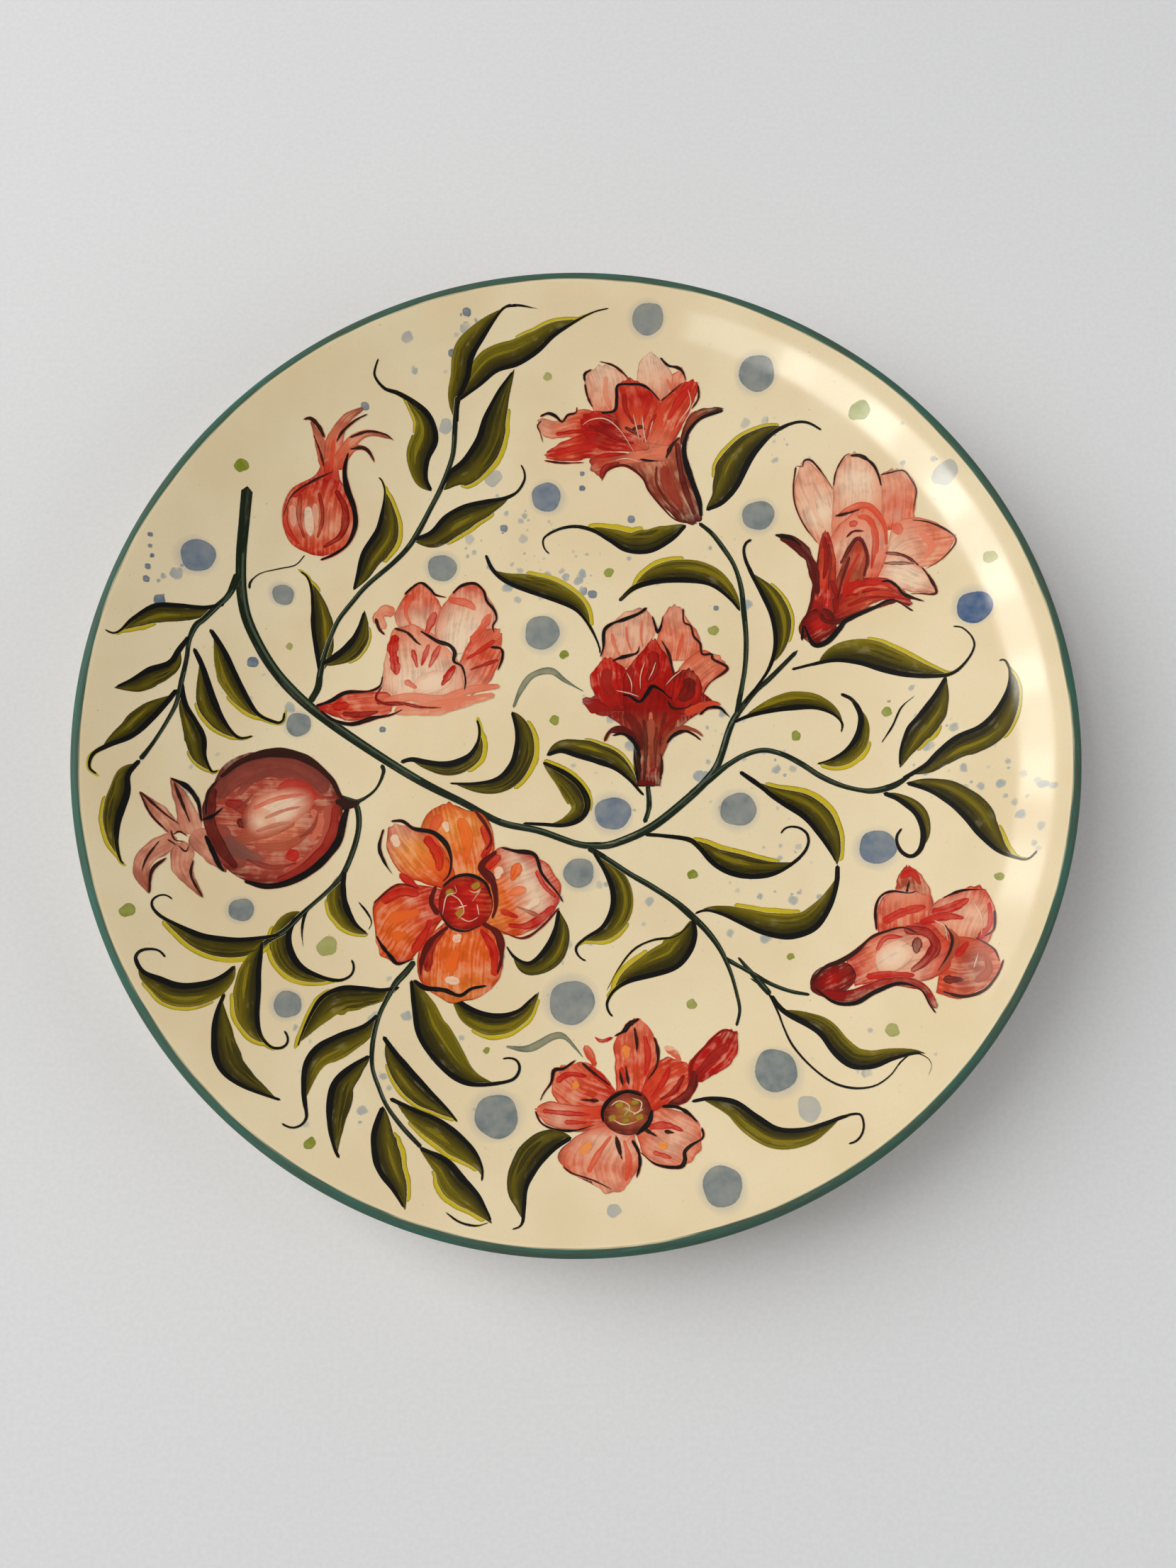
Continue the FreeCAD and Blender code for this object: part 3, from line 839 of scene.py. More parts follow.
LEAVES = (
    # dark line as x, y, x, y...; belly width (+ left of the line), start, end, peak; fringe
    ((-94, 37.5, -99, 36, -105, 36, -111, 35.3, -116, 31.5, -119, 28, -121, 27, -123.5, 28.2),
     (4.8, 0.05, 0.85, 0.5), (0.6, 0.9, 1.0)),
    ((-102.5, 28, -105, 24, -107, 20.5, -112, 18, -116, 15, -120, 12.5), (4.6, 0.15, 1, 0.55), None),
    ((-105, 13.5, -108, 9, -111, 5, -115, 0.5, -121, -3, -124, -5.5, -124.5, -9, -122, -11),
     (-4.8, 0.05, 0.72, 0.5), (0.75, 1.0, 0.9)),
    ((-113, -6, -115.5, -10, -115.5, -15, -117, -22, -117, -28, -115.5, -33, -114, -33.8),
     (-4.4, 0.05, 0.9, 0.4), (0.4, 1.0, 0.9)),
    ((-101.3, 25, -99, 20, -97, 14, -95, 9, -92, 4, -89, 1.5, -85, 2.5), (-4.2, 0.1, 0.85, 0.55),
     (0.45, 0.95, 0.9)),
    ((-97.5, 30.5, -94, 25, -91, 19, -88, 13, -85, 8.5, -81, 6.5, -78.5, 6.5, -77.8, 10),
     (-4.6, 0.05, 0.75, 0.5), (0.5, 1.0, 1.0)),
    ((-104, 15.5, -103, 10, -100, 5, -98, 1, -97.5, -4, -95.5, -8, -93.5, -7), (-4.6, 0.05, 0.9, 0.6),
     (0.7, 1.0, 0.8)),
    ((-69, 20, -69.8, 25, -71, 32, -71.3, 38, -71.7, 43, -73, 46.5, -75.5, 48.2),
     (-5.4, 0.0, 0.85, 0.45), (0.75, 1.0, 0.8)),
    ((-69, 22.5, -65, 25, -61, 29, -59, 33, -57.5, 38), (-4.0, 0.0, 1.0, 0.5), (0.3, 0.8, 0.7)),
    ((-60.5, 43.5, -59.5, 48, -58, 54, -54.5, 60, -53, 66, -52.5, 71, -53.5, 74, -55, 75),
     (-6.2, 0.0, 0.85, 0.5), (0.3, 0.9, 1.2)),
    ((-45, 58, -40, 60, -36, 64.5, -31, 67.5, -25, 69, -20, 70, -16.5, 71.8, -14.5, 75, -14.5, 77.5,
      -16, 80.3), (-6.6, 0.0, 0.72, 0.45), (0.15, 0.6, 1.1)),
    ((-40, 71.5, -41.5, 75, -41, 80, -39, 84.5, -39, 88, -41, 92, -45, 95, -49, 97, -52.5, 98,
      -55, 101, -54.5, 104, -53.5, 106.5), (6.4, 0.0, 0.66, 0.45), (0.4, 0.7, 0.7)),
    ((-37.5, 72, -35, 76.5, -31, 80, -27, 86, -25, 92, -21.5, 98.5, -17, 104.5), (-7.0, 0.0, 1.0, 0.4),
     (0.1, 0.75, 1.3)),
    ((-33, 90, -32.5, 96, -30, 102, -29, 107, -26, 112, -22.5, 117, -20, 119.8, -17, 121.2),
     (5.2, 0.0, 0.9, 0.5), None),
    ((-32.5, 96, -27, 100, -22, 104, -16, 106, -10.5, 109.5, -6, 113.5, 0, 117, 5, 119.2, 10, 120.2),
     (6.6, 0.0, 0.8, 0.42), (0.45, 0.85, 0.8)),
    ((-60.8, -33.5, -61, -38, -60, -43, -57.5, -47.5, -54, -50.3), (-4.4, 0.0, 1.0, 0.45),
     (0.35, 1.0, 0.9)),
    ((-69.4, -43.5, -73.5, -48, -73.8, -53.5, -71, -58.5, -66, -61.3, -61, -62.3, -58, -61, -57.3, -58.5,
      -58.5, -56), (-4.8, 0.05, 0.72, 0.4), (0.2, 0.75, 1.1)),
    ((-76, -50.5, -80, -51.5, -87, -52.3, -95, -51.5, -101, -49, -105.5, -46.5, -107.5, -44, -107, -42,
      -104.5, -41.2, -102, -43), (4.6, 0.05, 0.72, 0.35), (0.05, 0.7, 1.3)),
    ((-86.5, -59, -89, -61.5, -93, -63.6, -99, -64.4, -104, -62.8, -108, -61, -110, -57.5, -108.5, -55.5,
      -105, -55.5, -102.5, -58), (5.6, 0.0, 0.68, 0.45), (0.2, 0.6, 0.8)),
    ((-80.5, -52.5, -80.8, -60, -80.4, -66, -80.2, -72, -79, -76.5, -76, -79.5, -73, -79.2, -72.4, -77,
      -74, -74.5), (-6.2, 0.0, 0.72, 0.5), (0.35, 0.8, 1.1)),
    ((-88.5, -66, -89.8, -71, -90, -76, -89, -82, -86.5, -86, -82, -89, -77, -91, -72, -92.7),
     (5.6, 0.05, 0.95, 0.45), None),
    ((-45.5, -64, -50, -64.7, -55, -64.3, -60, -64.3, -64.5, -66.5, -67, -70.5, -69, -76, -70, -80),
     (6.6, 0.0, 0.95, 0.5), (0.5, 1.0, -1.0)),
    ((-50.5, -71, -54, -74, -60, -76.5, -65, -79.5, -67.5, -84, -67.5, -90, -66.8, -94, -66.3, -96.5,
      -67.5, -98.5, -70, -99, -73, -97.5), (5.6, 0.0, 0.72, 0.45), None),
    ((-52, -81.5, -56, -84, -60, -88, -61, -93, -60.5, -99, -59, -104, -57.3, -107),
     (5.4, 0.0, 0.95, 0.45), None),
    ((-48, -94, -49.5, -99, -49.7, -103, -48, -109, -44, -114, -41, -118.5), (6.2, 0.0, 1.0, 0.45),
     (0.2, 0.95, 1.2)),
    ((-49, -76.5, -46, -80.5, -41, -86, -36, -91, -32, -95, -29, -98.3), (-5.0, 0.05, 0.95, 0.45),
     (0.2, 0.95, 0.9)),
    ((-46.5, -92, -40, -95, -34, -97.5, -29, -101, -25, -105, -23, -109, -23, -112.7),
     (-5.4, 0.05, 0.95, 0.5), (0.2, 0.9, 1.0)),
    ((-38.5, -104, -32, -107, -28, -111, -24, -115, -21.5, -119, -20.2, -121.8), (-5.6, 0.0, 1.0, 0.5),
     (0.2, 0.95, 1.1)),
    ((-42.5, -62, -41.5, -69, -40, -76, -36, -82, -31, -86.5, -26, -88.5, -20, -88.3, -15.5, -87,
      -14.3, -84, -16, -82, -20, -82.3), (8.0, 0.0, 0.72, 0.45), None),
    ((-32, -66.5, -26, -70, -20, -71.2, -15, -70, -11.5, -67, -9.5, -65), (-5.0, 0.0, 1.0, 0.45),
     (0.3, 0.95, 1.1)),
    ((-4.5, -43.5, -5.5, -49, -8, -54, -12, -57.5, -16, -56, -18.5, -52.5), (5.2, 0.0, 0.85, 0.5),
     None),
    ((-47, -4, -44, -3.2, -40, -4, -34, -4.5, -29, -2.5, -26.5, 1, -26, 5, -27, 8.5),
     (-3.4, 0.05, 0.85, 0.55), (0.55, 1.0, 1.3)),
    ((-17.3, 10, -16, 5, -16, 0, -17.5, -5, -21, -8.5, -27, -9.8, -34.5, -9.7), (5.0, 0.0, 0.95, 0.4),
     (0.1, 0.55, 1.4)),
    ((-9, -4, -3, -7, 1, -10.5, 3, -15, 1.5, -19, -3, -21, -9, -20.8, -15, -20.5),
     (-5.4, 0.0, 0.8, 0.45), (0.0, 0.5, -1.5)),
    ((-8, -2, -4, -0.8, 0, -2, 5, -3.5, 10, -5.5, 14, -8.5, 17, -12, 18.5, -13.5),
     (5.0, 0.0, 0.9, 0.45), (0.3, 0.8, 0.8)),
    ((-25, 54.3, -23, 50, -19, 46.5, -12, 43.5, -5, 41, 0, 38.5, 3.5, 34, 6, 28.5, 6.5, 25),
     (5.2, 0.1, 0.8, 0.5), (0.3, 0.8, 1.3)),
    ((30, 62.5, 26, 58.5, 20, 55.3, 14, 55.5, 9, 58.5, 5, 61, 0, 62.3, -5, 61.5, -9, 59, -8.8, 56,
      -6.5, 53.7), (-6.4, 0.0, 0.62, 0.42), (0.25, 0.62, 1.5)),
    ((11.5, 41, 16, 45, 22, 46.7, 30, 47, 37, 45.5, 42, 41.5, 45, 37.5), (6.0, 0.15, 0.98, 0.45),
     (0.1, 0.5, 1.2)),
    ((35.5, 66.5, 40, 68.5, 44, 73, 47, 79, 50, 83, 54, 86.5, 59, 88.5, 63, 88.3, 67.5, 85.5),
     (7.4, 0.0, 0.72, 0.45), (0.2, 0.7, 1.0)),
    ((48, 58, 46, 56.5, 46, 53, 48, 48, 50.5, 43, 53, 37, 54, 31, 53.5, 26, 51.5, 21, 48, 16,
      44.5, 11), (5.0, 0.2, 0.72, 0.5), (0.3, 0.6, 0.9)),
    ((58, 21.5, 64, 22.9, 70, 23.8, 76, 22.8, 82, 20.6, 88, 18.8, 94, 18, 99.5, 18.3, 103.5, 21.8,
      105.2, 26, 103, 29.8, 100.5, 30.9, 98.5, 30.7), (6.8, 0.12, 0.68, 0.42), (0.3, 0.7, 1.0)),
    ((42, 7, 48, 9.3, 56, 10.8, 63, 11, 68, 9.5, 71, 6.5, 70.5, 3), (4.4, 0.1, 0.9, 0.5), None),
    ((70.8, 14.5, 74, 12.5, 76, 8, 75, 3, 72, -1, 68, -3.5, 63.5, -4.8), (3.8, 0.2, 0.95, 0.55),
     (0.5, 0.95, 1.2)),
    ((98, 17.5, 95, 12.5, 91, 7.5, 88, 4, 86, -1.5, 85.5, -6.5), (6.2, 0.0, 1.0, 0.5),
     (0.4, 0.8, 1.0)),
    ((86, -9.5, 92, -6, 95, -3, 100, 1, 106, 3.5, 110, 7.5, 113, 13, 113.5, 18, 112, 21, 110, 20),
     (-6.2, 0.05, 0.88, 0.5), (0.55, 0.9, 0.8)),
    ((87, -10.5, 92, -12.5, 97, -16, 101, -20.5, 104, -25, 108, -29.5, 112, -31.7, 115, -32.3,
      118, -29.5), (6.4, 0.0, 0.82, 0.5), (0.6, 0.9, 1.1)),
    ((81, -13, 85, -15, 89, -19, 90.5, -24, 89.5, -28.5, 87, -30.3, 84.5, -28.5, 83.8, -25, 85.8, -22),
     (2.6, 0.0, 0.6, 0.5), None),
    ((43.5, -6.5, 49, -10.5, 54, -14.5, 60, -18.5, 64, -23.5, 67, -28.5, 68.5, -32),
     (6.0, 0.1, 1.0, 0.6), (0.2, 0.98, 1.4)),
    ((68.5, -32, 68, -37, 66, -43, 62, -48.5, 56, -50.7, 50, -50, 44, -47.5, 39, -45, 34, -43.7,
      30, -45), (-6.0, 0.05, 0.95, 0.5), (0.35, 0.8, 1.3)),
    ((18, -23.5, 24, -24, 30, -25, 33, -27.5, 36, -31, 40, -33.5, 45, -34.7, 51, -34.3, 56, -32,
      60, -28.5, 61.3, -25, 60, -22.5, 57, -21.5, 54.5, -22.5, 53.5, -24.8), (5.8, 0.2, 0.7, 0.5),
     (0.2, 0.65, 1.3)),
    ((50, -66, 53, -70, 58, -73, 62, -76, 65, -80.5, 69, -84, 74, -84.2, 79, -82.3, 84, -81, 87, -81),
     (5.0, 0.1, 1.0, 0.45), None),
    ((30.5, -46, 31, -50, 29.5, -54.5, 26, -58.5, 20, -60.5, 14, -62, 10, -64.5, 8, -68, 9, -71,
      10.5, -71.7), (-7.6, 0.0, 0.78, 0.42), (0.5, 0.85, 1.3)),
    ((4.5, -28, 7.5, -33, 9.5, -38, 9.5, -43, 7, -48, 2.5, -51, 0, -53.5, 1, -56, 3.5, -57.3),
     (5.4, 0.05, 0.78, 0.5), (0.5, 0.82, 1.1)),
    ((29, -92.8, 34, -92, 40, -93, 45, -96.5, 50, -99.5, 56, -99.7, 62, -98, 66, -96.5, 70, -95.8,
      70.7, -99, 69, -102, 65.5, -103.3), (-5.2, 0.05, 0.72, 0.45), None),
    ((-1, -101.5, -5, -104, -9, -108, -12, -113, -12.5, -118, -13, -122, -16, -123.3),
     (-6.6, 0.0, 0.85, 0.4), None),
)

STEMS = (
    # x, y, width...
    (-88.5, 69.5, 2.9, -89.3, 60, 2.8, -90, 50, 2.7, -89.6, 40, 2.7, -87.5, 32, 2.8, -82, 22, 2.9,
     -75, 14, 3.0, -65, 6, 2.8, -50, -4, 2.5, -40, -10, 2.4, -30, -15, 2.2, -20, -20.3, 2.1,
     -10, -22.5, 2.0, 0, -26, 1.9, 5, -26.5, 2.1, 10, -26, 2.2, 20, -21.5, 2.3, 30, -13.5, 2.2,
     35, -8.5, 2.1, 38, -4, 1.9, 41, 5, 1.8, 43, 9, 1.7, 48, 15.5, 1.6, 52, 19, 1.5, 60, 27, 1.3),
    (30, -13, 1.7, 35, -9, 1.8, 40, -5, 1.7, 45, -2, 1.6, 50, -0.7, 1.5, 55, -1.8, 1.5, 60, -4.5, 1.6,
     65, -8, 1.6, 70, -10.5, 1.5, 75, -12, 1.4, 79, -12.3, 1.7, 84, -11, 1.9, 88, -8.5, 1.2),
    (33.5, 63, 1.2, 37, 60, 1.5, 40, 56, 1.5, 43, 51, 1.4, 44.8, 45, 1.5, 45.5, 38, 1.5, 46, 30, 1.5,
     45.5, 22, 1.5, 44, 14, 1.5, 43, 9, 1.3),
    (19, -10, 1.4, 19.3, -16, 1.5, 18, -20.5, 1.3),
    (3, -27, 1.8, 8, -30, 1.6, 14, -34, 1.6, 20, -37.5, 1.7, 26, -41.5, 1.8, 30, -45, 1.9, 34, -49, 1.7,
     37.5, -54, 1.5, 40, -60, 1.2, 41.5, -66, 1.1, 42, -70, 1.0, 41, -74, 0.9),
    (38, -56, 1.2, 45, -60, 1.3, 50, -63, 1.2, 55, -65, 1.2, 60, -66, 1.0),
    (42, -56, 0.6, 46, -61, 1.4, 50, -66, 1.6),
    (-90.5, 46, 2.2, -93, 40, 1.8, -96, 36.5, 1.7, -99, 33, 1.7, -101, 31, 1.8, -102.5, 27, 1.4,
     -103, 22, 1.3, -104, 16, 1.4, -105, 10, 1.2, -107, 5, 1.1, -110, -1, 1.2, -113, -6, 1.4),
    (-71.5, 12, 1.6, -69.5, 16, 1.9, -69, 20, 1.7, -68, 25, 1.4, -66.5, 30, 1.3, -64.5, 35, 1.4,
     -61, 40, 1.5, -57, 45, 1.5, -50, 51.5, 1.5, -46, 56, 1.5, -43, 61, 1.6, -40, 67, 1.5, -37.5, 72, 1.5,
     -35.5, 77, 1.4, -34, 82, 1.4, -33.5, 88, 1.5, -33.3, 92, 1.4, -33, 97, 1.0),
    (-63.5, -17, 1.6, -60.5, -16, 1.7, -58.3, -16, 1.7, -57.5, -21, 1.6, -58.5, -27, 1.5, -61, -34, 1.7,
     -64, -38, 1.4, -68, -42, 1.3, -71, -45, 1.4, -75, -49.5, 1.7, -78, -51.5, 1.5, -81, -54, 1.2),
    (-41.8, -57, 1.6, -44, -60, 1.8, -46.5, -63, 1.7, -49, -68, 1.4, -50.5, -72, 1.4, -51.5, -78, 1.4,
     -51.3, -84, 1.2, -49.5, -89, 1.1, -47, -94, 1.1, -43, -99, 1.2, -38, -104, 1.2),
    (-63.5, -13, 0.9, -60, -14.3, 1.1, -57.5, -14.5, 1.1, -53.5, -11.5, 0.9, -51.5, -7, 1.0,
     -52, -4.5, 1.2),
    (-73.5, 52.5, 0.5, -76, 49.5, 0.5, -80, 48.2, 0.5, -85, 46.5, 0.5, -87.5, 44, 0.6, -87.8, 42, 0.8),
)

THIN_LINES = (
    (-57, -41.5, -54.5, -44.5, -53.3, -47, -54, -49),
    (-69, -42.5, -70.5, -46, -70.8, -50, -70.3, -53.8),
    (-31.5, -119, -28, -121.3, -24, -122.2, -21, -121.5),
    (45, -61.5, 49, -65, 51.5, -70, 53, -74.5, 55, -79, 59, -84, 64, -88, 69, -89.5, 74, -89, 78, -86.5,
     81, -83, 84, -81, 87, -82, 88, -84, 87, -86.5),
    (30, -47, 26, -50.5, 20, -51.5, 15, -54, 11, -59, 8, -64.5),
    (-20, 120, -16, 120.6, -10.5, 119.8),
    (81, 0.5, 84, 5, 86.5, 10, 90, 13),
)

GREY_STROKES = ((-17, 11, -15, 16, -12, 20, -7, 21.3, -3, 18.5, 2, 15.5),
                (-18, -79, -12, -79.5, -6, -76.5, -3, -76.5, 0, -79.5, 2, -82))


def belly_share(share, start, end, peak):
    """A leaf's belly along its line: 0 outside start to end, and 1 where it is widest."""
    within = np.clip((share - start) / (end - start), 0, 1)
    skew = math.log(0.5) / math.log(peak)
    return np.sin(np.pi * within ** skew) ** 0.9


def draw_leaf(layers, line, belly, fringe):
    """A leaf in the painter's way: fringe, wash, a few dry streaks, then its dark line.

    The wash lies between the line and the line moved sideways by width * belly_share.
    """
    path = smooth_path(np.reshape(line, (-1, 2)), 90)
    share = lengths(path) / lengths(path)[-1]
    width, start, end, peak = belly
    out = leftward(path)
    swell = belly_share(share, start, end, peak) * width * (1 + waver(share, 0.03, 5))
    inside = (share >= start) & (share <= end)
    edge = path + out * swell[:, None]
    sign = math.copysign(1.0, width)
    near = (path - out * 0.25 * sign)[inside]
    far = edge[inside]
    columns = 11
    spread = np.linspace(0, 1, columns)
    tones = (OLIVE_DARK, OLIVE_DEEP, OLIVE, OLIVE_DEEP if hand.random() < 0.5 else OLIVE_LIGHT)
    tone = blended(tones, spread)[None, :, :]
    tip = (np.abs(np.linspace(-1, 1, len(near))) ** 3)[:, None, None]
    tone = tone * (1 - 0.45 * tip) + np.array(OLIVE_DARK[:3]) * 0.45 * tip
    layers["leaf_washes"].ruled(near, far, tone, 1.06, columns)
    for place in (0.30, 0.58, 0.80):
        first = hand.uniform(0.05, 0.35)
        last = hand.uniform(0.55, 0.95)
        run = np.linspace(first, last, 12) * (end - start) + start
        pick = [np.interp(run, share, column) for column in (path + out * (swell * place)[:, None]).T]
        dark = OLIVE_LIGHT if place == 0.58 and hand.random() < 0.6 else OLIVE_DARK
        layers["leaf_shading"].stroke(np.stack(pick, 1), dark, abs(width) * hand.uniform(0.10, 0.24),
                                      hand.uniform(0.3, 0.6), (0.2, 0.1))
    if fringe:
        begin, finish, thick = fringe
        run = np.linspace(begin, finish, 24)
        beyond = edge if thick > 0 else path - out * 0.3 * sign
        push = out * sign * (0.25 * thick)
        pick = [np.interp(run, share, column) for column in (beyond + push).T]
        layers["leaf_fringes"].stroke(np.stack(pick, 1), YELLOW, abs(thick) * 1.45, 0.95, (0.5, 0.6))
    weight = np.interp(share, [0, 0.2, 0.5, 0.75, 1], [1.0, 1.4, 1.5, 1.0, 0.6])
    thick_line = np.column_stack([path, weight * hand.uniform(0.85, 1.15)])
    layers["leaf_lines"].stroke(thick_line[::3], INK)


def draw_branches(layers):
    """Stems with a paler streak down them, then all the leaves, thin lines and grey strokes."""
    for stem in STEMS:
        rows = np.reshape(stem, (-1, 3))
        layers["stems"].stroke(rows, STEM, ragged=0.05, columns=7)
        streak = smooth_path(rows, 40)
        streak[:, :2] += leftward(streak) * streak[:, 2:] * 0.16
        for first in (3, 21):
            part = streak[first:first + 15] * (1, 1, 0.26)
            if part[:, 2].max() > 0.28:
                layers["stems"].stroke(part, STEM_PALE, cover=0.55, lift=0.012, columns=5)
    for line, belly, fringe in LEAVES:
        draw_leaf(layers, line, belly, fringe)
    for line in THIN_LINES:
        layers["leaf_lines"].stroke(np.reshape(line, (-1, 2)), INK, 0.75, ends=(0.5, 0.3))
    for line in GREY_STROKES:
        layers["leaf_washes"].stroke(np.reshape(line, (-1, 2)), GREY_GREEN, 2.1, 0.8, columns=7)


# ---------------------------------------------------------------- dots and splatter

BLUE_DOTS = (19.5, 117.2, 4.3, 49.2, 102.1, 4.9, -8.4, 70.5, 4.2, 49.7, 64.5, 4.4, -100.8, 49.9, 4.5,
             -36.8, 50.3, 4.0, -79.1, 41.2, 3.0, -9.4, 32.1, 4.9, 105.5, 35.6, 4.6, -74.2, 5.9, 3.4,
             9.7, -17.8, 4.9, 43, -16.8, 4.9, 78.9, -27.5, 4.8, 0.7, -33.8, 4.1, -86.1, -44.4, 3.2,
             -73.1, -68.6, 3.6, -1.1, -67.7, 6.0, 50.4, -85.1, 5.5, -19.8, -96.4, 5.6, 35.9, -113, 5.0,
             -57.7, 93, 1.3, 15, 64.3, 1.2, -20, 61.7, 1.2, 4.3, 43, 1.4, -86.5, 22.3, 1.6, -52, 5, 1.0,
             -30, 118.5, 1.3, -34, 108, 1.3, -112.5, 54, 0.8, -112.5, 51, 0.7, -112, 48.5, 0.7,
             -113, 45.5, 0.9, -113.3, 42.2, 1.0, -110, 37, 1.6, 38, 39, 0.9, 1.5, 77, 0.8, 1.5, 73, 1.0)
BLUEST = 8                # the one dot in strong blue, by its place among the blue dots
BLUER = {2, 4, 10, 12}    # and those that are bluer than the rest
PALE_DOTS = (98.5, 71.8, 3.6, 9.4, -118.8, 1.9, 58, -94.5, 3.4, -23, 75.5, 2.6, -36, 89, 2.2)
GREEN_DOTS = (-90, 74.7, 2.0, -8, 102.7, 1.3, 76.5, 90.3, 2.9, 109.5, 48.5, 1.9, -3.4, 25.9, 1.4,
              37.2, 32.7, 1.6, -5.9, 7.6, 1.5, 82.7, 9, 1.5, 58.8, 3.2, 1.5, 8.8, 49.2, 1.5,
              -77.2, 27.2, 1.1, -113, -45.5, 2.0, -64.3, -53.5, 2.8, 30.6, -34.2, 1.5, 108, -36.5, 1.3,
              55.5, -56, 1.1, 29.8, -68.2, 1.5, 79.5, -75.2, 1.9, -65, -102.8, 1.6, -22.8, -80, 1.0)
SPLATTERS = (  # centre x, y, reach, how many drops
    (-16, 57, 16, 26), (-4, 50, 10, 12), (50, -38, 16, 24), (112, -20, 14, 18), (45, -7, 18, 18),
    (-112, 45, 8, 8), (-34, 108, 14, 10), (88, 70, 16, 10), (95, 5, 16, 12), (-60, -80, 22, 12),
    (-30, -90, 22, 12), (60, 90, 14, 8), (20, 0, 24, 12), (75, -90, 20, 10), (0, -50, 24, 14),
    (100, -5, 14, 10), (30, 44, 20, 10), (-95, 5, 22, 10))


def draw_dots(layers):
    """Round blots with a soft pale halo, plain green dots, and clusters of faint drops."""
    for number, (x, y, r) in enumerate(np.reshape(BLUE_DOTS, (-1, 3))):
        tone = BLUE if number == BLUEST else BLUE_SOFT if number in BLUER or r < 2 else BLUE_GREY
        if r > 2:
            shift = hand.uniform(-0.12, 0.12, 2) * r
            layers["dot_halos"].dab((x + shift[0], y + shift[1]), (r * 1.4, r * 1.34), HALO, 0,
                                    (0.62, 0.5, 0.0), 0.08)
        layers["blue_dots"].dab((x, y), (r, r * hand.uniform(0.93, 1.0)), tone, 0,
                                hand.uniform(0.82, 0.95), 0.05)
    for x, y, r in np.reshape(PALE_DOTS, (-1, 3)):
        layers["blue_dots"].dab((x, y), (r, r * 0.85), PALE_GREY, hand.uniform(0, 90), 0.7, 0.09)
    for x, y, r in np.reshape(GREEN_DOTS, (-1, 3)):
        cover = hand.uniform(0.7, 1.0)
        layers["green_dots"].dab((x, y), (r, r * 0.92), LEAF_GREEN, hand.uniform(0, 90), cover, 0.10, 11)
    for x, y, reach, count in SPLATTERS:
        for drop in range(count * 3 // 2):
            angle = hand.uniform(0, 2 * np.pi)
            away = reach * math.sqrt(hand.uniform(0, 1))
            size = 0.4 + 1.5 * hand.uniform(0, 1) ** 3
            centre = (x + away * math.cos(angle), y + away * math.sin(angle))
            if math.hypot(*centre) < EDGE - 7:
                layers["splatter"].dab(centre, (size, size * hand.uniform(0.75, 1)), PALE_GREY,
                                       hand.uniform(0, 90), hand.uniform(0.45, 0.85), 0.12, 7)


# ---------------------------------------------------------------- blossoms and fruit

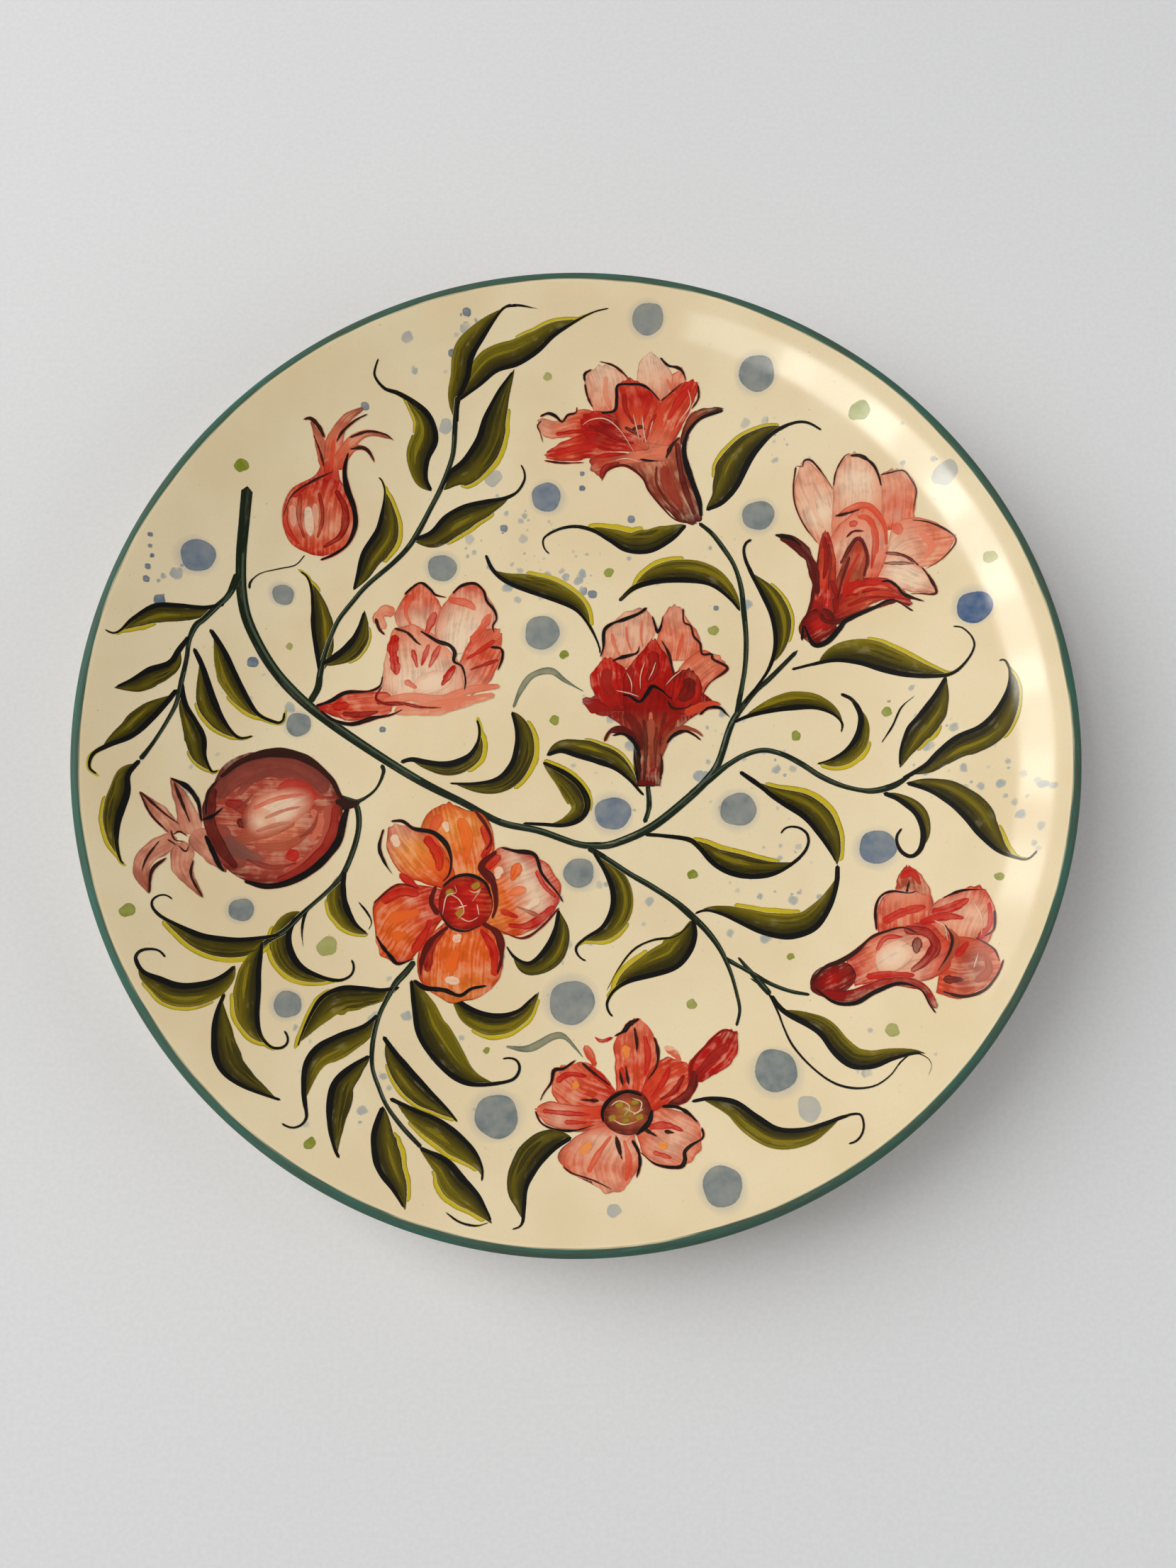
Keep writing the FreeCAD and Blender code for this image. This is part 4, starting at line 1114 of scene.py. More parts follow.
PETALS = (
    # left edge and right edge from root to tip as x, y, x, y...; tones from root to tip; edge tone
    # the upper blossom
    ((5, 93, 2.5, 99, 3, 103, 4.5, 104.5), (13, 93, 14.8, 99, 13.5, 103, 9, 105), (ROSE, PINK, PALE), ROSE),
    ((24, 96, 25, 101, 27, 103.5, 28.5, 104.5), (30, 96, 30, 100.5, 29.8, 102.5, 29, 104.3),
     (CORAL, ROSE, ROSE), CORAL),
    ((16, 95, 16.3, 101, 16.8, 105.7, 19.8, 108.5), (25, 95, 26.3, 100, 25.5, 104.5, 20.8, 108.3),
     (ROSE, PINK, PALE), PINK),
    ((7, 93, 1.3, 94.3, -4.4, 91.6, -10, 92), (6, 86, -2.5, 86.5, -8.2, 86.4, -10.5, 89.5),
     (RED, CORAL, ROSE, PINK), ROSE),
    ((9, 88, 2.5, 88, -3.1, 86.2, -8.2, 83), (9.5, 81, 3.8, 80.9, -1.3, 80.2, -8.5, 81),
     (ROSE, RED, CORAL, RED), RED),
    ((13, 79.5, 17.6, 76.1, 20.1, 71.7, 23.9, 67.3, 27.5, 63.8),
     (28.5, 87, 29.5, 80, 31.4, 74.9, 33.9, 68.6, 34.4, 64), (ROSE, RUST, RUST, MAROON), MAROON),
    ((25, 80, 16, 79.6, 10, 78, 6, 76), (26, 86.5, 18, 84.5, 12, 82, 4, 81.5), (ROSE, ROSE, RED), RUST),
    ((20, 83, 8, 83, 2, 87, 1, 91), (20.5, 87, 18, 91.5, 12, 93.8, 5, 93.8),
     (ROSE, RED, RED_DEEP, RED), RED),
    ((12, 88, 10.7, 93.7, 10.8, 98.7, 12, 101), (20.7, 86.5, 22.6, 91.8, 22.9, 96.2, 17.5, 100.8),
     (ROSE, CORAL, RED, CORAL), RED),
    ((18, 85, 20.5, 92, 24, 96.5, 29, 100.6), (25.5, 84, 29, 89, 31.9, 94.4, 33.4, 100.3),
     (ROSE, CORAL, CORAL, RED), RED),
    ((28, 85, 30.3, 91, 34, 93.8, 38.5, 94, 40, 93.4), (30, 83, 31.5, 88.3, 35, 91.3, 38, 92.4, 40, 92.9),
     (BROWN, RUST, BROWN), BROWN),
    # the right-hand blossom
    ((66, 55, 61.6, 61.8, 59.2, 70, 60.5, 77), (71.5, 58, 70.8, 67.5, 67.4, 73.7, 63.4, 78.4),
     (ROSE, PALE, PINK, PINK), ROSE),
    ((81, 58, 82, 66.2, 82, 73.1, 84, 73.8), (91, 58, 91.2, 67.5, 89.8, 72, 87, 74),
     (CORAL, ROSE, PINK), ROSE),
    ((69, 58, 69.7, 70.6, 71, 75.6, 73.6, 79.2), (83, 57, 82.5, 69, 80.6, 75, 77.4, 78.6),
     (ROSE, PINK, PALE, PINK), ROSE),
    ((83, 51, 85.4, 58.7, 89.8, 61, 96, 59.4, 100.6, 55.4),
     (84, 47, 89, 47.8, 94.2, 47.4, 98.6, 49.9, 100.8, 53.6), (PALE, PINK, ROSE, ROSE), ROSE),
    ((80, 52.4, 87.3, 51.4, 92.3, 47.6, 95.4, 43.8), (80, 44, 86.7, 42.4, 90.4, 40.6, 95.8, 40.3),
     (ROSE, PALE, PALE, PINK), CORAL),
    ((66, 44, 67.5, 54, 71, 60.5, 75, 64), (81, 44, 83.6, 52, 83.7, 59, 80, 64.3),
     (CORAL, PINK, ROSE), CORAL),
    ((62.5, 33, 63.8, 40, 64.8, 48, 66, 55, 67, 59), (70, 33, 70, 41, 70.4, 48, 70.2, 54, 68.6, 58.7),
     (RED, RED, CORAL, RED), MAROON),
    ((68.5, 36, 70.3, 46, 73, 52, 76, 57), (75.5, 36, 77.5, 44, 79.3, 50.5, 77.4, 56.4),
     (CORAL, RUST, CORAL), MAROON),
    ((69, 41, 76, 43.5, 82, 43, 88.5, 40.6), (69.5, 34, 76, 36.6, 83, 39.3, 89.5, 37),
     (RED_DEEP, CORAL, RED), MAROON),
    ((72, 44.5, 78, 46, 84, 45, 88, 41.8), (72.5, 40.8, 80, 42, 84, 42, 87.5, 40),
     (RED, RED, CORAL), RED_DEEP),
    # the middle blossom
    ((6.5, 22, 7.2, 30, 7.6, 33, 10, 35.3), (18, 22, 21, 31, 21.6, 34, 19.8, 38), (ROSE, PINK, PINK), ROSE),
    ((21, 24, 22.2, 32, 23.2, 36, 25.2, 39.2), (33, 24, 33.6, 30, 31.6, 34, 28.6, 39),
     (ROSE, ROSE, PINK), CORAL),
    ((26, 19, 30, 25, 34, 27.4, 36.2, 26), (32, 13, 36, 17.5, 39.6, 20.6, 40.4, 22.2),
     (CORAL, ROSE, ROSE), CORAL),
    ((16.5, -0.5, 13, 5, 8, 8.6, 1.5, 12), (23, -0.5, 27, 5, 33, 9, 38.5, 11.6),
     (RUST, RUST, RED_DEEP, RED_DEEP), RED_DEEP),
    ((8, 10, 4.5, 15, 3.8, 20, 6.5, 24), (15, 10, 14, 17, 13.3, 22, 10, 24.6), (RED_DEEP, RED, RED), RED),
    ((20, 9, 23, 16, 26, 20.5, 28.6, 21.6), (31, 9, 33.6, 14, 33.8, 18, 32, 21.2),
     (RED_DEEP, RED, MAROON), RED_DEEP),
    ((12, 11, 12.8, 20, 16, 25, 19.6, 29.6), (26, 11, 26.6, 20, 24.4, 26, 21.8, 30),
     (RED_DEEP, RED, RED), RED_DEEP),
    ((14.5, 2, 12.5, 8, 13.5, 12, 17, 13, 19.8, 16.5), (25, 2, 27, 8, 26.5, 12.5, 24, 14.2, 21, 16.5),
     (RUST, RED_DEEP, RED_DEEP), RED_DEEP),
    ((16.2, -10.6, 15.8, -5, 15.6, 1), (22.4, -10.6, 22.8, -5, 23.6, 1),
     (MAROON, RED_DEEP, RUST, RUST), MAROON),
    # the left-hand blossom, lying on its side
    ((-47, 31, -49.4, 36, -48, 41, -43.6, 45.4), (-37, 31, -36.6, 38, -38, 41.8, -41.2, 45.4),
     (PALE, PINK, CORAL, ROSE), CORAL),
    ((-38, 26, -38.4, 34, -36, 41, -32, 44.8), (-24, 26, -22.4, 34, -22.8, 40, -27, 45.6),
     (PALE, PALE, PINK, CORAL), CORAL),
    ((-34, 18, -31, 26, -27, 32.4, -22, 33.6), (-28, 14, -23, 19, -20.4, 25, -20.4, 31),
     (PINK, CORAL, ROSE), CORAL),
    ((-51.5, 11, -52.4, 18, -52, 25, -50, 32.5), (-30.5, 13, -30.4, 18, -32, 24, -37, 30),
     (PINK, PALE, PINK, ROSE), ROSE),
    ((-69.5, 11, -64, 14.4, -58, 15.3, -51, 15.5), (-69, 10.4, -62, 7.2, -56, 7.8, -50, 9.5),
     (RED, CORAL, ROSE), RED),
    # the lower right blossom, lying on its side
    ((82, -43, 82.6, -38, 83.8, -35, 85.6, -33), (92, -44, 91, -38, 89, -34.8, 86.6, -33),
     (ROSE, RUST, RED), CORAL),
    ((77.5, -51, 77.8, -45, 79, -41, 82.4, -39.4), (91, -48, 92, -44, 91.5, -41.5, 88, -40),
     (CORAL, ROSE, PINK), RED),
    ((90, -50, 91, -44, 95, -41, 100, -39.4), (102, -56, 106, -50.5, 106.3, -44.5, 104.6, -40),
     (ROSE, PINK, CORAL), RED),
    ((94, -51, 100, -51.8, 104, -54, 106.2, -58), (90.5, -66, 96, -67.6, 102, -65, 106, -60),
     (CORAL, RUST, ROSE), CORAL),
    ((69, -57, 76, -51.7, 81, -49.2, 89, -47.4), (71, -64, 80, -62.6, 88, -63, 94.5, -60),
     (RED, ROSE, PINK, CORAL), RED),
    # the orange flower
    ((-33, -38, -41, -27, -40, -18.5, -36, -15.4), (-25, -38, -21.4, -28, -24, -19, -31, -16.2),
     (AMBER, ORANGE, AMBER, ORANGE), RED),
    ((-28, -38, -24, -31, -20, -27, -13.5, -28), (-28, -46, -17, -50.6, -9, -47.4, -4.2, -41.5),
     (CORAL, AMBER, ORANGE, PALE, CORAL), RED),
    ((-32, -45, -40.4, -53, -41, -60, -38.6, -64), (-25, -45, -19.6, -52, -19.4, -60, -21.6, -64.2),
     (RED, ORANGE, ORANGE, AMBER), RED),
    ((-34, -45, -40, -53, -43, -57, -47, -57.6), (-34, -38, -45, -36.8, -53, -42, -52, -50),
     (RED, CORAL, ORANGE, ORANGE), RED),
    ((-33, -39, -45, -34.5, -50, -28, -50, -22), (-31, -37, -33.4, -30, -37, -25, -44, -21.5),
     (RED, ORANGE, AMBER, PINK), RED),
    # the pink flower and its bud
    ((10, -93, 10, -83, 9.4, -78, 13.5, -72.8), (19, -92, 20.7, -82, 20, -76, 17, -72.6),
     (CORAL, CORAL, ROSE), CORAL),
    ((10, -95, -1, -95, -6, -91, -6, -86), (11, -91, 6, -85, 2, -82.6, -1, -83.6),
     (RED, CORAL, ROSE), CORAL),
    ((9, -99.5, 0, -100, -7, -98.6, -10, -95.6), (9, -94, 0, -93.6, -6, -92.6, -9.6, -94),
     (RED, CORAL, PINK, CORAL), CORAL),
    ((10, -98, 1, -100.5, -4.3, -106, -1, -110, 4, -112), (14.5, -99, 15.4, -104, 15.6, -109, 12, -114),
     (CORAL, PINK, ROSE, PINK), CORAL),
    ((14, -98, 17, -106, 21, -108, 26, -108.5), (16, -95, 24, -94.4, 30, -97, 31.2, -101),
     (RED, ROSE, PINK, ROSE), CORAL),
    ((15, -93, 19, -85, 23, -81.6, 27, -82.6), (17, -96, 25, -93.4, 29, -92, 30, -88),
     (RED, CORAL, CORAL), RED),
    ((28.5, -88, 28.6, -83, 33, -79, 37.5, -75.2), (32, -88, 37, -85.2, 41, -81, 41.6, -75.8),
     (RED_DEEP, RED, RED, RED_DEEP), RED))

BLOSSOMS = (0, 11, 21, 30, 35, 40, 45)     # where each blossom's petals start in the list above

RED_STROKES = (
    # width, cover, tone, x, y...
    (1.4, 0.7, BROWN, 18, 8, 18.6, 2, 18.4, -4, 18, -9.6), (1.2, 0.6, MAROON, 21.5, 6, 21.2, 0, 21, -6),
    (1.5, 0.6, MAROON, 15, 9, 17, 5, 17.6, -1), (1.2, 0.55, ROSE, 20, 10, 19.8, 5, 19.6, 1),
    (1.2, 0.6, MAROON, 24, 10, 22.8, 5, 22.2, 0), (1.6, 0.6, RED_DEEP, 66.5, 42, 66, 38, 66.4, 35),
    (1.2, 0.65, MAROON, 68.4, 56, 68.8, 50, 68.2, 43), (1.3, 0.6, RED, 72.2, 40, 73.4, 46, 76.6, 53),
    (1.0, 0.6, RUST, 76.4, 40, 77, 46, 78, 52), (1.6, 0.6, RED, 79, 62, 80.6, 56, 79.6, 48),
    (1.3, 0.7, RED_DEEP, 73, 38.4, 79, 40.4, 86, 39.8), (1.2, 0.55, ROSE, 74.6, 42, 79, 43.6, 84, 42.6),
    (1.6, 0.8, RED_DEEP, 3, 90, 7, 88.5, 12, 86, 16, 85),
    (1.2, 0.8, MAROON, 13, 89.5, 15.5, 88.2, 18, 86.5), (2.2, 0.7, RED, -6, 82.5, 0, 84, 6, 84.5),
    (1.4, 0.8, RED, -6, 87.6, 0, 88.4, 6, 88), (2.4, 0.75, RED, 31.5, 99.5, 28.5, 96.5, 25, 91),
    (1.5, 0.7, RED_DEEP, 13, 98.5, 13.5, 94, 16, 90), (1.5, 0.7, RED, 20, 97.5, 19, 93, 18, 90),
    (1.2, 0.6, RED_DEEP, 22, 93, 20, 89, 19, 85.5),
    (2.0, 0.8, MAROON, 27.5, 85, 28.5, 78, 30, 72, 32.5, 65),
    (3.4, 0.6, RED_DEEP, 24, 79, 25.5, 73, 29, 67), (1.0, 0.7, MAROON, 22, 79, 22, 74, 25, 69, 28.5, 65.5),
    (2.0, 0.85, RED_DEEP, 6.6, 75.6, 8, 78.5, 12, 80), (1.4, 0.8, RED, 4.5, 81.4, 9, 82, 14, 82.3),
    (1.2, 0.8, BROWN, 15, 88.6, 17.5, 89.4, 19, 88.6), (1.6, 0.6, ROSE, 8, 103, 8, 98, 9.5, 94),
    (1.2, 0.5, CORAL, 24.5, 102, 26.5, 98.5, 28, 97),
    (1.8, 0.75, CORAL, 71, 63, 74, 64.8, 79, 65, 82.8, 60, 83.6, 54),
    (2.2, 0.7, RED, 73.8, 60.5, 76.2, 60.8), (2.8, 0.6, CORAL, 86, 60, 87, 56.5),
    (1.6, 0.7, CORAL, 76, 62.5, 79, 61.5, 81, 57, 81, 52), (1.8, 0.8, RED_DEEP, 67, 58, 68, 52, 67, 46),
    (1.6, 0.75, RED_DEEP, 69, 46, 70.5, 41, 70, 36.5),
    (1.3, 0.8, MAROON, 71.5, 50, 76, 56.6, 78.5, 52, 77.6, 46),
    (1.0, 0.7, MAROON, 74, 52, 72, 46, 70.5, 40), (2.2, 0.8, RED, 73.5, 44, 80, 44.5, 84, 44),
    (1.2, 0.8, MAROON, 83, 52.2, 88, 51, 92, 47.8), (1.2, 0.6, MAROON, 82.5, 49.4, 87.5, 49, 91, 48.6),
    (1.6, 0.85, MAROON, 66, 37, 67.5, 34.6, 72, 34.6, 78, 37, 86, 39),
    (2.0, 0.5, ROSE, 92, 57, 95, 53, 93, 49.5), (1.4, 0.5, PINK, 64, 72, 64.5, 66, 67, 60),
    (1.2, 0.6, CORAL, 9.5, 32, 10.5, 28, 12, 25), (0.9, 0.6, CORAL, 13.5, 34, 13.8, 30, 15, 26.5),
    (0.9, 0.6, CORAL, 17.8, 36, 17.5, 31, 18, 28), (1.3, 0.6, CORAL, 29, 32, 28, 28, 27, 24),
    (3.4, 0.7, RED_DEEP, 8.5, 22, 8, 18, 10, 14), (3.6, 0.85, RED_DEEP, 20.5, 27, 21, 22, 19, 18),
    (4.2, 0.8, MAROON, 30.5, 19.5, 30, 15.5, 27.5, 13), (2.0, 0.7, RED_DEEP, 15, 22.5, 14.5, 18, 16, 14),
    (4.0, 0.85, RED_DEEP, 9, 9.5, 5, 11.5, 1.6, 13.6), (2.8, 0.8, CORAL, 29, 9.4, 34, 11.4, 38.8, 12),
    (2.4, 0.6, MAROON, 13, 10, 15, 7, 17.5, 2), (2.0, 0.5, RUST, 20, 8, 20, 4, 19.8, 0),
    (1.4, 0.6, RED_DEEP, 28, 9, 24, 6, 21.5, 2),
    (3.6, 0.8, ROSE, -49.5, 37.2, -52, 38, -53.8, 36, -52, 32.8),
    (3.2, 0.85, RED, -49, 31.5, -49.8, 27.5, -49.3, 24.5), (3.0, 0.8, RED, -49.6, 26, -48.5, 20),
    (1.6, 0.75, RED, -44.5, 27.5, -43, 22), (1.6, 0.75, RED, -40, 29, -42, 22.5),
    (1.8, 0.8, RED, -37, 28.6, -40, 22), (2.2, 0.85, RED, -32.8, 23, -36.5, 17),
    (1.8, 0.7, CORAL, -46.5, 18.6, -43, 16.4), (2.4, 0.75, RED, -38.4, 38, -40, 34, -41, 31),
    (2.6, 0.7, CORAL, -35, 41.4, -30, 40.4, -27.5, 38.5), (2.2, 0.7, CORAL, -23.4, 37.5, -26, 33, -29, 30),
    (1.6, 0.75, RED, -22, 30, -26, 27, -30, 24.5), (1.2, 0.7, RED_DEEP, -21, 24.5, -25, 23, -29, 21.5),
    (3.2, 0.75, ROSE, -52, 12.4, -45, 14, -36, 13, -29, 16, -20.6, 17),
    (3.8, 0.7, ROSE, -49, 10.2, -40, 10.6, -33, 12, -22, 14.6),
    (1.1, 0.85, RED_DEEP, -54, 12.2, -48, 12.4, -42, 11.2, -36, 11), (3.0, 0.85, RED, -65.5, 11, -61, 11.6),
    (2.0, 0.8, RED_DEEP, -63, 9.2, -58, 9, -53, 10), (1.5, 0.6, CORAL, -45, 43, -46.5, 38, -45, 34),
    (2.8, 0.8, RED, 91, -45.4, 96, -44.2, 100.5, -42), (2.4, 0.8, RED, 88, -48, 94, -46.4, 99, -47),
    (2.0, 0.75, RED, 84, -36, 87, -34.6, 89, -38),
    (3.0, 0.8, RED_DEEP, 84, -49.6, 89.5, -50.4, 91.5, -54, 88.5, -58, 85, -60.4),
    (2.6, 0.85, MAROON, 87.4, -51.5, 86.6, -56),
    (1.8, 0.7, RUST, 95, -49.5, 96.5, -53, 94, -58, 91.6, -60.6), (2.0, 0.8, RED, 96, -57, 99.5, -53),
    (2.2, 0.8, MAROON, 92.5, -62.6, 97.5, -62.8), (1.8, 0.8, RED, 101.5, -53, 104.6, -49),
    (2.2, 0.7, RUST, 100, -63.5, 103.5, -60.5, 103, -56),
    (3.0, 0.85, RED_DEEP, 63, -65.6, 70, -66.4, 78, -63.2, 84, -63.2, 88, -65, 90.5, -70),
    (2.0, 0.8, RED, 74, -61.6, 80, -61, 86, -61.4), (1.6, 0.75, RED, 77, -55, 79.5, -51.6, 84, -51.4),
    (2.6, 0.8, RED, 79, -47.5, 84, -45, 90, -43.6), (1.4, 0.6, RED, 105, -43, 105, -48, 103, -52),
    (3.0, 0.7, CORAL, -36, -18, -38, -23, -36.5, -28), (3.4, 0.75, ORANGE, -31, -19, -29, -24, -29, -30),
    (2.6, 0.8, RED, -25, -21, -23, -26, -25, -30), (2.0, 0.7, PALE, -35, -20, -34, -23),
    (2.6, 0.75, PALE, -48.5, -23.5, -47, -27), (3.2, 0.8, RED, -40, -24, -36.5, -29, -36, -33.5),
    (2.2, 0.85, RED, -46.5, -34, -41, -38.5), (3.0, 0.8, RED, -51, -41.5, -46, -39, -41, -39.5),
    (3.2, 0.7, ORANGE, -49, -46, -44, -45, -41, -44), (2.8, 0.8, ORANGE, -48, -51, -44, -50),
    (2.6, 0.8, RED, -42.5, -55, -39.5, -50, -38, -46),
    (2.6, 0.85, RED_DEEP, -38.5, -60, -38, -54, -34.5, -49),
    (2.6, 0.85, RED, -21, -61, -21.6, -54, -25, -48.6), (3.6, 0.75, ORANGE, -33, -60, -31, -54),
    (2.6, 0.8, PALE, -34, -61.8, -30, -62.4), (2.4, 0.75, PALE, -32, -52, -30, -50),
    (2.4, 0.85, RED, -20, -29, -23.5, -33, -22.5, -37), (2.6, 0.75, PALE, -20, -32, -21, -35.5),
    (3.0, 0.8, ORANGE, -15, -31, -17, -36), (2.8, 0.7, ORANGE, -13, -38, -18, -39.5),
    (2.2, 0.8, PALE, -9.5, -40.5, -14, -44), (2.4, 0.85, RED, -5.5, -42.5, -12, -47.5, -18, -47.6),
    (1.6, 0.75, RED, -10.5, -33, -8.5, -37, -5, -40.5), (1.8, 0.8, RED, -20, -43.6, -15, -45.6),
    (1.2, 0.7, RUST, -9, -45.5, -16, -42.5), (2.4, 0.75, AMBER, 12.5, -78.6, 13.2, -82),
    (1.8, 0.7, RED, 17.5, -76, 18.4, -81, 17.5, -86.5), (1.4, 0.75, RED, 11.5, -84, 12.5, -88.5),
    (2.6, 0.75, AMBER, -1, -88.5, 1, -89), (1.8, 0.8, RED, -5, -88, -2, -86, 3, -86.5),
    (2.0, 0.8, RED, 3, -84, 7, -87.5, 9, -90), (1.6, 0.75, RED, -8.5, -95, -3, -95.6, 4, -96),
    (1.4, 0.7, RED, -3, -97.8, 3, -98), (2.4, 0.7, AMBER, 1, -105.5, 4, -102.5),
    (1.6, 0.7, CORAL, 3, -110, 6, -105, 9, -101), (1.8, 0.7, CORAL, 12.5, -112, 13.2, -107, 12, -102),
    (2.6, 0.8, AMBER, 20.5, -103.4, 23, -103.6), (2.0, 0.75, RED, 18, -99, 23, -98.6, 27, -100),
    (1.5, 0.75, RED, 19, -105, 24, -106.5), (1.8, 0.75, RED, 24, -84, 22, -88, 19, -92),
    (1.6, 0.8, RED_DEEP, 27.5, -86, 25, -90, 21, -92.5),
    (2.6, 0.85, MAROON, 30, -85, 29.4, -89, 27, -92, 23, -93.6),
    (2.6, 0.7, RED_DEEP, 38.5, -78.5, 34, -82.5, 30.5, -86),
    (1.2, 0.8, RED, 9.5, -76.6, 6.6, -77.6, 4.6, -76.4), (2.2, 0.8, CORAL, 2.2, -78.6, 3.6, -81, 5, -84),
    (2.0, 0.5, ROSE, 22.5, -79, 25, -80.5, 26.6, -83))

